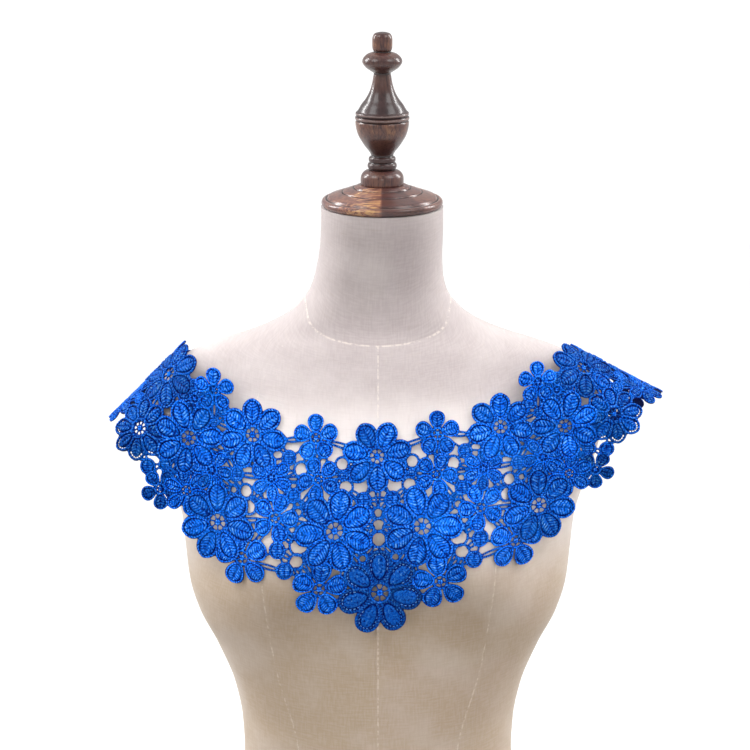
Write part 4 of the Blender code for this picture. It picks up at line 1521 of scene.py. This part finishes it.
@dataclass
class LaceCollar:
    """The embroidered collar: a thin ground with raised petals, dots, rings and cords on it."""

    drape: Drape
    pattern: Pattern = field(default_factory=Pattern)
    ground_low: float = 0.25
    ground_high: float = 0.8
    # The ground's low tone, with no relief, paints it the deepest blue: painted shade under the relief.
    ground_tone: float = -0.3
    seed: int = 11
    # The net's cords, and how far apart the points of the round ones lie; their low tones are partly
    # painted shade.
    dot_rim: Cording = Cording(0.9, 1.85, bead=2.0, tone=0.4)
    dot_filling: Filling = Filling(1.85, 2.2, rib=2.0, columns=9, tone=0.2)
    dot_step: float = 0.5
    ring_cord: Cording = Cording(1.1, 1.8, tone=0.15)
    ring_step: float = 0.55
    tying_cord: Cording = Cording(0.95, 1.6, bead=1.9, tone=0.0, sides=5)
    # The flowers: how dye changes from flower to flower and petal to petal, and their hubs.
    dye: float = 0.66
    flower_change: float = 0.13
    petal_change: float = 0.2
    tones: Pair = (-0.5, 1.1)
    width_change: float = 0.025
    lift_change: float = 0.15
    rim_points: int = 120
    hub_cord: Cording = Cording(0.8, 1.95, bead=1.9)
    hub_step: float = 0.6
    hub_shading: float = 0.7  # how much of the flower's shade its hub shows
    spoke_cord: Cording = Cording(0.55, 1.4, tone=0.6, sides=5)
    spoke_shading: float = 0.9
    spoke_from: float = 0.5  # a share of the knot's radius
    spoke_points: int = 7
    knot_high: float = 1.9
    knot_columns: int = 7
    # The running stitches are raised into the pale glint colour: their pale dashes are painted light.
    pale_stitch: Cording = Cording(0.36, 1.8, tone=0.6, sides=5, glint=0.62)
    stitch_at: Pair = (1.7, 0.34)  # angles of the last stitch and from each to the next
    stitch_half: float = 0.1
    # A whipped cord's shape, and its relief mark, which paints a highlight on its beads and shade along
    # its sides.
    cord_low: float = 0.35
    cord_dome: float = 0.8
    cord_end: float = 0.6  # an open end's share of the width and height
    bead_slant: float = 0.3
    bead_width: float = 0.07
    bead_height: float = 0.1
    bead_relief: Triple = (0.55, 0.42, 1.8)  # level, depth and power
    # A satin filling's shape, and its relief marks, which paint highlights on the rib and band crests and
    # shade between them.
    rows_a_rib: int = 4
    rib_slant: float = 0.72
    rib_bend: float = 1.15
    filling_end: float = 0.985
    end_power: int = 8
    filling_sunk: float = 0.35
    rib_change: float = 0.16
    ridge_foot: float = 0.3
    rib_height: Pair = (0.6, 0.4)  # level and depth, like the next
    rib_relief: Pair = (0.1, 0.8)
    bands: float = 1.5
    band_dome: Pair = (3.2, 0.6)  # powers
    band_height: Pair = (0.84, 0.1)
    band_relief: Triple = (0.56, 0.14, 0.4)  # level, depth and power
    # Where a petal lies over other thread, that thread is pressed down.
    tuck_low: float = 0.5
    flower_tuck: float = 0.7
    net_tuck: float = 0.5
    # The openwork slits in a petal: angles, and the thread that has to stay round them.
    slit_at: Pair = (1.92, 0.32)
    slit_half: float = 0.115
    slit_inset: float = 0.05
    slit_clear: float = 1.9
    slit_from_petal: float = 2.2
    slit_reach: float = 4.0
    # The sheet's outlines and triangles.
    least_loop: int = 6
    least_area: float = 0.9
    least_step: float = 0.12
    long_loop: int = 16
    sheet_cell: float = 4.0
    rim_clear: float = 0.9
    weld: float = 1e-5  # points closer than this become one
    least_cross: float = 1e-7  # twice the area of the least triangle that is kept

    def __post_init__(self) -> None:
        """Starts the order of random draws."""
        self.random = np.random.RandomState(self.seed)
        self.cut = (0.0, 0.0)

    def lay(self, shell: Shell, name: str, material: Material) -> Object:
        """Lays a shell of flat places and heights on the form and makes its object."""
        flat = np.concatenate(shell.points)
        return shell.build(name, material, self.drape.at(flat[:, :2], flat[:, 2]))

    def cord(self, shell: Shell, line: Array, work: Cording, closed: bool = True) -> None:
        """Adds a whipped cord with a flat underside.

        Args:
            shell: Where it is added.
            line: Its middle line, evenly spaced.
            work: How it is whipped.
            closed: Whether it joins its own start.
        """
        count, sides, bead = len(line), work.sides, work.bead
        if closed:
            way = np.roll(line, -1, 0) - np.roll(line, 1, 0)
            run = run_along(np.vstack([line, line[:1]]))
            bead = run[-1] / max(round(run[-1] / bead), 1)
        else:
            way = np.gradient(line, axis=0)
            run = run_along(line)
        way = way / np.linalg.norm(way, axis=1)[:, None]
        left = np.stack([-way[:, 1], way[:, 0]], -1)
        angle = math.pi * (1 - np.arange(sides) / (sides - 1))
        aside, rise = np.cos(angle), np.sin(angle) ** self.cord_dome
        wave = np.sin(TURN * (run[:count, None] / bead + self.bead_slant * aside))
        taper = np.ones((count, 1))
        if not closed:
            taper[[0, -1]] = self.cord_end
        wide = work.half_width * taper * (1 + self.bead_width * wave)
        flat = line[:, None] + left[:, None] * (wide * aside)[..., None]
        stand = (work.high - self.cord_low) * rise * (1 + self.bead_height * wave) * taper
        # The relief mark paints light: painted shade along the cord's sides, and a painted highlight on
        # its beads.
        level, depth, power = self.bead_relief
        relief = rise ** power * (level + depth * wave) + work.glint
        i, k = np.meshgrid(np.arange(count if closed else count - 1), np.arange(sides), indexing="ij")
        quads, stitches = [], []
        for a, b in ((0, 0), (1, 0), (1, 1), (0, 1)):
            quads.append(((i + a) % count * sides + (k + b) % sides).ravel())
            along = run[i + a] + self.bead_slant * bead * aside[(k + b) % sides]
            stitches.append(np.stack([along, k + b], -1).reshape(-1, 2))
        faces, corners = [np.stack(quads, -1)], [np.stack(stitches, 1)]
        if not closed:
            faces += [np.arange(sides)[None], ((count - 1) * sides + np.arange(sides)[::-1])[None]]
            corners += [np.zeros((1, sides, 2))] * 2
        height = self.cord_low + stand
        points = np.concatenate([flat.reshape(-1, 2), height.reshape(-1, 1)], 1)
        shell.add(points, faces, corners, relief=relief.ravel(), tone=work.tone)

    def ribbed(self, out: Array, ends: Array, ribs: int) -> tuple[Array, Array]:
        """The ribs of a filling that is stitched on both halves.

        Args:
            out: Share of the way from the middle line to the rim, by column.
            ends: How high the filling stands there, by row.
            ribs: How many ribs there are.

        Returns:
            Each point's share of the height, and its relief mark, which paints highlights on the rib
            crests and shade between them.
        """
        row = np.arange(self.rows_a_rib * ribs + 1)
        wave = np.abs(np.sin(math.pi * row / self.rows_a_rib))[:, None]
        uneven = 1 + self.rib_change * self.random.randn(ribs + 1)[row // self.rows_a_rib][:, None]
        lobe = np.sqrt(np.maximum(1 - (2 * out - 1) ** 2, 0))
        lobe = np.where(out < 0.5, self.ridge_foot + (1 - self.ridge_foot) * lobe, lobe) * ends
        (level, depth), (least, most) = self.rib_height, self.rib_relief
        return lobe * (level + depth * wave), lobe * (least + most * wave * uneven)

    def banded(self, out: Array, ends: Array) -> tuple[Array, Array]:
        """The smooth bands of a filling that is stitched lengthwise.

        Args:
            out: Share of the way from the middle line to the rim, by column.
            ends: How high the filling stands there, by row.

        Returns:
            Each point's share of the height, and its relief mark, which paints a highlight on the bands'
            crests and shade between them.
        """
        wave = np.cos(TURN * self.bands * out)
        flat_top, edge = self.band_dome
        dome = (1 - out ** flat_top) ** edge * ends
        (high, depth), (level, change, power) = self.band_height, self.band_relief
        return dome * (high + depth * wave), dome ** power * (level + change * wave)

    def pad(self, shell: Shell, petal: Petal, work: Filling) -> None:
        """Adds a petal's satin-stitched filling.

        Args:
            shell: Where it is added.
            petal: The petal that it fills.
            work: How it is filled.
        """
        length, width = petal.half_length - work.inset, petal.half_width - work.inset
        ribs, columns = max(round(2 * length / work.rib), 2), work.columns
        rows = self.rows_a_rib * ribs + 1
        # The ribs slant: each starts on the middle line and meets the rim nearer the tip.
        along = np.linspace(-self.filling_end, self.filling_end, rows)[:, None]
        share = np.arccos(-along) / math.pi
        at_rim = -np.cos(math.pi * share ** (self.rib_slant if petal.swell else 1.0))
        v = np.linspace(-1, 1, columns)[None]
        out = np.abs(v)
        x = (along + (at_rim - along) * out ** self.rib_bend) * length
        y = width * petal.breadth(at_rim) * v
        ends = (1 - along ** self.end_power) ** 0.5
        if work.style is PetalStyle.RIBBED:
            share_up, relief = self.ribbed(out, ends, ribs)
            lean = np.stack([along * length + 0 * x, y], -1)
        else:
            share_up, relief = self.banded(out, ends)
            lean = np.stack([y, along * length + 0 * x], -1)
        low = self.ground_high - self.filling_sunk
        height = low + (work.high - low) * share_up
        points = np.concatenate([petal.place(x, y), height[..., None]], -1)
        i, j = np.meshgrid(np.arange(rows - 1), np.arange(columns - 1), indexing="ij")
        corners = ((0, 0), (1, 0), (1, 1), (0, 1))
        quads = np.stack([((i + a) * columns + j + b).ravel() for a, b in corners], -1)
        stitches = np.stack([lean[i + a, j + b].reshape(-1, 2) for a, b in corners], 1)
        first = np.arange(rows - 1) * columns
        under = np.stack([first, first + columns - 1, first + 2 * columns - 1, first + columns], -1)
        caps = [np.arange(columns)[None], ((rows - 1) * columns + np.arange(columns)[::-1])[None]]
        shell.add(points.reshape(-1, 3), [quads, under, *caps],
                  [stitches, np.zeros((rows - 1, 4, 2)), *[np.zeros((1, columns, 2))] * 2],
                  relief=np.clip(relief, 0, 1).ravel(), tone=work.tone)

    def running_stitch(self, shell: Shell, petal: Petal, inset: float) -> None:
        """Adds a row of short pale stitches between a petal's rim cord and its filling.

        Args:
            shell: Where they are added.
            petal: The petal.
            inset: How far they lie inside its outline.
        """
        last, step = self.stitch_at
        for middle in np.arange(-last, last + step / 2, step):
            turn = middle + np.linspace(-self.stitch_half, self.stitch_half, 4)
            self.cord(shell, petal.rim(inset, turn), self.pale_stitch, closed=False)

    @staticmethod
    def tucked(points: Array, over: Sequence[Petal], inset: float, low: float) -> Array:
        """Presses points down to the ground where a petal lies over them.

        Args:
            points: Flat places with a height.
            over: The petals that may lie over them.
            inset: How far inside a petal's outline they have to be.
            low: The height that they are pressed to.

        Returns:
            The points as pressed.
        """
        points = points.copy()
        for petal in over:
            covered = petal.outside(points[:, :2]) < -inset
            points[covered, 2] = np.minimum(points[covered, 2], low)
        return points

    @staticmethod
    def circle(middle: Array, radius: float, step: float) -> Array:
        """Evenly spaced points of a circle.

        Args:
            middle: Its middle.
            radius: Its radius.
            step: How far apart the points lie, at least.

        Returns:
            The points.
        """
        count = max(int(TURN * radius / step), LEAST_POINTS)
        turn = TURN * np.arange(count) / count
        return middle + radius * np.stack([np.cos(turn), np.sin(turn)], -1)

    @staticmethod
    def evenly(line: Array, step: float) -> Array:
        """Spaces a closed line's points evenly.

        Args:
            line: The line.
            step: How far apart the points are to lie, at least.

        Returns:
            The new points.
        """
        loop = np.vstack([line, line[:1]])
        run = run_along(loop)
        count = max(int(run[-1] / step), LEAST_POINTS)
        at = np.linspace(0, run[-1], count, endpoint=False)
        return np.stack([np.interp(at, run, loop[:, k]) for k in (0, 1)], -1)

    def over(self, motif: Motif) -> list[Petal]:
        """The petals of the flowers that are stitched over this one: large over small.

        Args:
            motif: The flower.

        Returns:
            The petals.
        """
        flowers = self.pattern.flowers
        first = flowers.index(motif)
        above = [m for k, m in enumerate(flowers) if m is not motif
                 and (m.large, -k) > (motif.large, -first)
                 and np.hypot(*(m.middle - motif.middle)) < m.radius + motif.radius]
        return [petal for m in above for petal in self.pattern.petals(m)]

    def spokes(self, flower: Motif) -> list[Array]:
        """The thin cords from a flower's knot to the ring round it.

        Args:
            flower: The flower.

        Returns:
            The lines, from the knot outwards.
        """
        angles = np.radians(flower.turn + 360 * (np.arange(flower.petals) + 0.5) / flower.petals)
        reach = np.linspace(self.spoke_from * flower.knot, flower.hub, self.spoke_points)[:, None]
        return [flower.middle + reach * np.array([math.cos(turn), math.sin(turn)]) for turn in angles]

    def petal(self, shell: Shell, petal: Petal, work: FlowerWork, dye: float) -> None:
        """Adds one petal: its rim cord, its filling and any running stitches.

        Args:
            shell: Where it is added.
            petal: The petal.
            work: How its flower is stitched.
            dye: The flower's tone: its dye, darkened by its painted shade.
        """
        tone = float(np.clip(dye + self.petal_change * self.random.randn(), *self.tones))
        change = 1.0 + self.width_change * self.random.randn()
        petal = petal._replace(half_width=petal.half_width * change)
        full = np.linspace(0, TURN, self.rim_points + 1)[:-1]
        line = self.evenly(petal.rim(work.rim_half, full), work.rim_step)
        lift = self.lift_change * self.random.randn()
        self.cord(shell, line, Cording(work.rim_half, work.rim_high + lift, work.rim_bead,
                                       tone + work.rim_tone, work.rim_sides))
        self.pad(shell, petal, Filling(
            2 * work.rim_half + work.rim_gap, work.filling_high + lift, work.filling_rib,
            work.filling_columns, work.filling_follows * tone + work.filling_tone, work.style))
        if work.style is PetalStyle.BANDED:
            self.running_stitch(shell, petal, 2 * work.rim_half + work.rim_gap / 2)

    def flower(self, shell: Shell, flower: Motif) -> None:
        """Adds one flower's petals and hub.

        Args:
            shell: Where they are added.
            flower: The flower.
        """
        work, shade = flower.work, flower.shade.value
        # The flower's tone: its dye, darkened by its painted shade, with a random change.
        dye = self.dye - shade + self.flower_change * self.random.randn()
        first = len(shell.points)
        for petal in self.pattern.petals(flower):
            self.petal(shell, petal, work, dye)
        self.cord(shell, self.circle(flower.middle, flower.hub, self.hub_step), self.hub_cord._replace(
            half_width=work.ring_half, tone=work.ring_tone - self.hub_shading * shade))
        spoke_cord = self.spoke_cord._replace(
            half_width=work.spoke_half, tone=self.spoke_cord.tone - self.spoke_shading * shade)
        for spoke in self.spokes(flower):
            self.cord(shell, spoke, spoke_cord, closed=False)
        self.pad(shell, disc(flower, flower.knot), Filling(0, self.knot_high, rib=flower.knot,
                                                           columns=self.knot_columns, tone=1.0))
        over = self.over(flower)
        for k in range(first, len(shell.points)):
            shell.points[k] = self.tucked(shell.points[k], over, self.flower_tuck, self.tuck_low)

    def net(self, shell: Shell) -> None:
        """Adds the dots, rings and tying cords.

        Args:
            shell: Where they are added.
        """
        for dot in self.pattern.dots:
            rim = self.circle(dot.middle, dot.radius - self.dot_rim.half_width, self.dot_step)
            self.cord(shell, rim, self.dot_rim)
            self.pad(shell, disc(dot, dot.radius), self.dot_filling)
        for ring in self.pattern.rings:
            self.cord(shell, self.circle(ring.middle, ring.radius, self.ring_step), self.ring_cord)
        for line in self.pattern.cords:
            self.cord(shell, line, self.tying_cord, closed=False)
        petals = [petal for flower in self.pattern.flowers for petal in self.pattern.petals(flower)]
        middles = np.array([petal.middle for petal in petals])
        reach = np.array([petal.half_length for petal in petals])
        for k, part in enumerate(shell.points):
            centre = part[:, :2].mean(axis=0)
            span = np.linalg.norm(part[:, :2] - centre, axis=1).max()
            near = np.nonzero(np.linalg.norm(middles - centre, axis=1) < reach + span)[0]
            shell.points[k] = self.tucked(part, [petals[n] for n in near], self.net_tuck, self.tuck_low)

    def ground(self, shell: Shell) -> float:
        """Adds the stitched ground: one thin sheet with every gap cut out.

        Args:
            shell: Where it is added.

        Returns:
            Its flat area in square mm.
        """
        pattern, sheet = self.pattern, Ground(self.drape)
        for motif in pattern.flowers + pattern.dots:
            for petal in pattern.petals(motif):
                sheet.join_petal(petal)
        for flower in pattern.flowers:
            sheet.join_hoop(flower.middle, flower.hub, flower.knot)
        for ring in pattern.rings:
            sheet.join_hoop(ring.middle, ring.radius)
        for line in pattern.cords:
            sheet.join_cord(line, sheet.cord_half)
        for flower in pattern.flowers:
            for spoke in self.spokes(flower):
                sheet.join_cord(spoke[[0, -1]], sheet.spoke_half)
        loops = self.tidy_loops(sheet.loops())
        loops += self.slits(loops)
        return self.sheet_of(shell, loops)

    def tidy_loops(self, loops: list[Array]) -> list[Array]:
        """Drops scraps and evens out the outlines' points.

        Args:
            loops: The outlines.

        Returns:
            The outlines that are kept, smoothed.
        """
        kept = []
        for loop in loops:
            x, y = loop[:, 0], loop[:, 1]
            area = 0.5 * abs(float(np.sum(x * np.roll(y, -1) - np.roll(x, -1) * y)))
            if len(loop) >= self.least_loop and area > self.least_area:
                steps = np.linalg.norm(np.roll(loop, -1, 0) - loop, axis=1)
                keep = np.concatenate([[True], steps[:-1] > self.least_step])
                smooth = 0.5 * loop + 0.25 * (np.roll(loop, 1, 0) + np.roll(loop, -1, 0))
                smooth = smooth[keep]
                kept.append(smooth[::2] if len(smooth) > self.long_loop else smooth)
        return kept

    def slits(self, loops: list[Array]) -> list[Array]:
        """The rows of small slits between the openwork petals' cords and fillings.

        Args:
            loops: The ground's outlines, which they stay clear of.

        Returns:
            The slits' outlines.
        """
        pattern, rim, found = self.pattern, np.vstack(loops), []
        petals = [(m, p) for m in pattern.flowers + pattern.dots for p in pattern.petals(m)]
        last, step = self.slit_at
        for flower, petal in petals:
            if not flower.work.openwork:
                continue
            near = [p for _, p in petals if p is not petal]
            inner = 2 * flower.work.rim_half + self.slit_inset
            for middle in np.arange(-last, last + step / 2, step):
                angle = middle + np.linspace(-self.slit_half, self.slit_half, 4)
                slit = np.vstack([petal.rim(inner, angle),
                                  petal.rim(inner + flower.work.rim_gap, angle[::-1])])
                centre = slit.mean(0)
                clear = np.hypot(*(rim - centre).T).min() >= self.slit_clear
                if clear and all(p.outside(centre) >= self.slit_from_petal for p in near
                                 if np.hypot(*(p.middle - centre)) < p.half_length + self.slit_reach):
                    found.append(slit)
        return found

    def sheet_of(self, shell: Shell, loops: list[Array]) -> float:
        """Fills the outlines with triangles, doubles them and closes the rims.

        Args:
            shell: Where the sheet is added.
            loops: Closed outlines and holes.

        Returns:
            The flat area in square mm.
        """
        rim, cell, drape = np.vstack(loops), self.sheet_cell, self.drape
        spots = np.stack(np.meshgrid(np.arange(-drape.reach + cell, drape.reach - cell, cell),
                                     np.arange(drape.low + cell, drape.high - cell, cell),
                                     indexing="ij"), -1).reshape(-1, 2)
        spots = spots[self.within(spots, loops)]
        near = np.array([np.min(np.abs(rim - spot).max(axis=1)) for spot in spots])
        flat = np.vstack([rim, spots[near > self.rim_clear]])
        edges, first = [], 0
        for loop in loops:
            edges += [(first + k, first + (k + 1) % len(loop)) for k in range(len(loop))]
            first += len(loop)
        verts, _, faces, _, _, _ = delaunay_2d_cdt([tuple(p) for p in flat], edges, [], 0, self.weld)
        verts = np.array([tuple(v) for v in verts])
        faces = np.array([tuple(face) for face in faces])
        faces = faces[self.within(verts[faces].mean(axis=1), loops)]
        a, b, c = (verts[faces[:, k]] for k in range(3))
        cross = (b[:, 0] - a[:, 0]) * (c[:, 1] - a[:, 1]) - (b[:, 1] - a[:, 1]) * (c[:, 0] - a[:, 0])
        faces[cross < 0] = faces[cross < 0][:, ::-1]
        faces = faces[np.abs(cross) > self.least_cross]
        used, faces = np.unique(faces, return_inverse=True)
        faces = faces.reshape(-1, 3)
        verts = verts[used]
        count = len(verts)
        self.cut = tuple(float(size) for size in np.ptp(verts, axis=0))
        ends = np.concatenate([faces[:, [0, 1]], faces[:, [1, 2]], faces[:, [2, 0]]])
        keys = ends[:, 0] * count + ends[:, 1]
        border = ends[~np.isin(keys, ends[:, 1] * count + ends[:, 0])]
        walls = np.stack([border[:, 1], border[:, 0], border[:, 0] + count, border[:, 1] + count], -1)
        high, low = np.full(count, self.ground_high), np.full(count, self.ground_low)
        both = np.concatenate([np.column_stack([verts, high]), np.column_stack([verts, low])])
        # No relief and the ground's low tone: painted shade, the deepest blue, under the relief.
        shell.add(both, [faces, faces[:, ::-1] + count, walls],
                  [verts[faces], verts[faces[:, ::-1]], np.zeros((len(walls), 4, 2))],
                  relief=0.0, tone=self.ground_tone)
        return float(np.abs(cross).sum() / 2)

    @staticmethod
    def within(points: Array, loops: list[Array]) -> Array:
        """Whether each point is in the thread, by counting the edges beside it.

        Args:
            points: The points.
            loops: The thread's outlines.

        Returns:
            True where the thread is.
        """
        order = np.argsort(points[:, 1])
        rows = points[order]
        crossed = np.zeros(len(points), int)
        for loop in loops:
            for (ax, ay), (bx, by) in zip(loop, np.roll(loop, -1, 0)):
                first, last = np.searchsorted(rows[:, 1], (min(ay, by), max(ay, by)))
                if last > first:
                    part = rows[first:last]
                    crossed[first:last] += part[:, 0] < ax + (part[:, 1] - ay) / (by - ay) * (bx - ax)
        inside = np.empty(len(points), bool)
        inside[order] = crossed % 2 == 1
        return inside

    def build(self, material: Material) -> tuple[Object, list[Object], float]:
        """Makes the ground and the relief pieces on it.

        Args:
            material: The thread's finish.

        Returns:
            The ground, the relief pieces and the ground's flat area in square mm.
        """
        flowers = self.pattern.flowers
        groups = {
            "lace_large_flowers_left": [m for m in flowers if m.large and m.across < 0],
            "lace_large_flowers_right": [m for m in flowers if m.large and m.across >= 0],
            "lace_small_flowers_left": [m for m in flowers if not m.large and m.across < 0],
            "lace_small_flowers_right": [m for m in flowers if not m.large and m.across > 0],
        }
        relief = []
        for name, members in groups.items():
            shell = Shell()
            for member in members:
                self.flower(shell, member)
            relief.append(self.lay(shell, name, material))
        shell = Shell()
        self.net(shell)
        relief.append(self.lay(shell, "lace_net", material))
        shell = Shell()
        area = self.ground(shell)
        return self.lay(shell, "lace_ground", material), relief, area


# ---- the studio
class Lamp(NamedTuple):
    """A soft box that faces the chest: its middle, its width and height, and its power."""

    name: str
    place: Triple
    size: Pair
    watts: float
    beam: float = 180.0  # degrees; a grid on the box narrows it


LAMPS = (
    Lamp("left_softbox", (-1150, -900, 2100), (900, 900), 14.2),
    Lamp("right_softbox", (1150, -900, 2100), (900, 900), 13.4),
    Lamp("left_strip", (-1350, 450, 1500), (240, 900), 20.0),
    Lamp("right_strip", (1350, 450, 1500), (240, 900), 16.5),
    Lamp("gridded_front_softbox", (-2.6, -1950, 880), (420, 420), 0.165, beam=12.0),
)


@dataclass
class Studio:
    """Plain pale floor, soft lights and the camera."""

    lamps: tuple[Lamp, ...] = LAMPS
    lit: Triple = (0.0, 0.0, 480.0)
    target: Triple = (-2.6, -90.0, 591.0)
    distance: float = 1800.0
    elevation: float = math.radians(8.0)
    lens_mm: float = 102.864
    farthest: float = 40.0  # in metres
    floor_half: float = 9000.0
    floor_drop: float = 0.2
    # The room's light. Its places are parts of a direction: 1 is straight up, or straight behind.
    air_above: float = 0.78
    air_below: float = 0.12
    above: Pair = (-0.3, 0.6)
    air_behind: float = 0.55
    behind: Pair = (-0.15, 0.3)
    behind_ends: Pair = (0.35, 0.75)
    air_level: float = 0.85
    level: Pair = (0.1, 0.22)
    level_up: float = 0.01
    bounce: str = "FFE4C8"
    air: str = "FFFFFF"
    bounce_ends: Pair = (-0.5, -0.1)

    def lamp(self, lamp: Lamp) -> None:
        """Adds one soft box.

        Args:
            lamp: Its sizes.
        """
        light = bpy.data.lights.new(lamp.name, "AREA")
        light.shape = "RECTANGLE"
        light.size, light.size_y = (side * METRES for side in lamp.size)
        light.energy = lamp.watts
        light.spread = math.radians(lamp.beam)
        made = bpy.data.objects.new(lamp.name, light)
        made.location = Vector(lamp.place) * METRES
        way = Vector(self.lit) * METRES - made.location
        made.rotation_euler = way.to_track_quat("-Z", "Y").to_euler()
        bpy.context.scene.collection.objects.link(made)

    def sky(self) -> None:
        """Sets the room's light: wide overhead, a white wall behind, a level band and dim below."""
        world = bpy.data.worlds.new("studio_air")
        bpy.context.scene.world = world
        world.use_nodes = True
        tree = world.node_tree
        tree.nodes.clear()
        ray = add_node(tree, "ShaderNodeTexCoord", output="Generated")
        back, up = (add_node(tree, "ShaderNodeSeparateXYZ", (ray,), output=axis) for axis in (1, 2))
        off_level = add_node(tree, MATHS, (up, self.level_up), operation="SUBTRACT")
        off_level = add_node(tree, MATHS, (off_level,), operation="ABSOLUTE")
        overhead, wall, wall_end, band, open_air = (
            add_node(tree, STEP, inputs, **EASED) for inputs in (
                (up, *self.above, self.air_below, self.air_above),
                (back, *self.behind, 0.0, self.air_behind),
                (back, *self.behind_ends, 1.0, 0.0),
                (off_level, *self.level, self.air_level, 0.0),
                (up, *self.bounce_ends)))
        wall = add_node(tree, MATHS, (wall, wall_end), operation="MULTIPLY")
        side = add_node(tree, MATHS, (wall, band), operation="MAXIMUM")
        strength = add_node(tree, MATHS, (overhead, side), operation="ADD")
        colour = add_node(tree, MIX, {0: open_air, 6: linear(self.bounce), 7: linear(self.air)},
                          output=2, data_type="RGBA")
        air = add_node(tree, "ShaderNodeBackground", {"Color": colour, "Strength": strength})
        add_node(tree, "ShaderNodeOutputWorld", {"Surface": air})

    def build(self) -> None:
        """Makes the floor, the lights and the camera."""
        half, foot = self.floor_half, -self.floor_drop
        corners = np.array([(-half, -half, foot), (half, -half, foot), (half, half, foot),
                            (-half, half, foot)])
        shell = Shell()
        shell.add(corners, [np.arange(4)[None]], [corners[None, :, :2]])
        floor = shell.build("paper_floor", MattPaper().make())
        # The light that paper throws back is in the air's light from below.
        floor.visible_diffuse = False
        self.sky()
        for lamp in self.lamps:
            self.lamp(lamp)
        camera = bpy.data.objects.new("camera", bpy.data.cameras.new("camera"))
        camera.data.lens = self.lens_mm
        camera.data.clip_end = self.farthest
        back = Vector((0, -math.cos(self.elevation), math.sin(self.elevation))) * self.distance
        camera.location = (Vector(self.target) + back) * METRES
        camera.rotation_euler = (math.pi / 2 - self.elevation, 0, 0)
        bpy.context.scene.collection.objects.link(camera)
        bpy.context.scene.camera = camera
        bpy.context.scene.view_settings.view_transform = "Standard"


def claim(piece: Object, slot: str, *nodes: str) -> Object:
    """Ties a piece to the body and hides the CAD nodes that it stands for.

    Args:
        piece: The piece.
        slot: Not used.
        nodes: The nodes.

    Returns:
        The same piece.
    """
    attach(piece, "root")
    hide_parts(*nodes)
    return piece


def main() -> None:
    """Builds the form, the wood, the collar and the studio in order."""
    logging.basicConfig(level=logging.INFO, format="%(name)s %(message)s")
    form = DressForm()
    cover = claim(form.build(WovenLinen().make()), "linen", "form_torso")
    cap_wood = TurnedBeech(name="stained_turned_beech_cap", along=(0.1, 1.0, 1.0), stain="5A3938",
                           thin="986854", ochre="C49C66")
    cap = TurnedPiece("turned_neck_cap", CAP_PROFILE, form, CAP_WARMTH, CAP_BOARDS)
    claim(cap.build(cap_wood.make()), "turned_wood", "neck_cap")
    finial = TurnedPiece("turned_finial", FINIAL_PROFILE, form, FINIAL_WARMTH)
    claim(finial.build(TurnedBeech().make()), "turned_wood", "finial")
    collar = LaceCollar(Drape(form))
    ground, relief, area = collar.build(DyedThread().make())
    for piece in (ground, *relief):
        claim(piece, "blue_thread", "lace_collar")
    LOG.info("cut %.1f x %.1f mm, %.4f m2 of lace", *collar.cut, area * METRES ** 2)
    [size * METRES for size in collar.cut]
    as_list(relief)
    Studio().build()


if __name__ == "__main__":
    main()
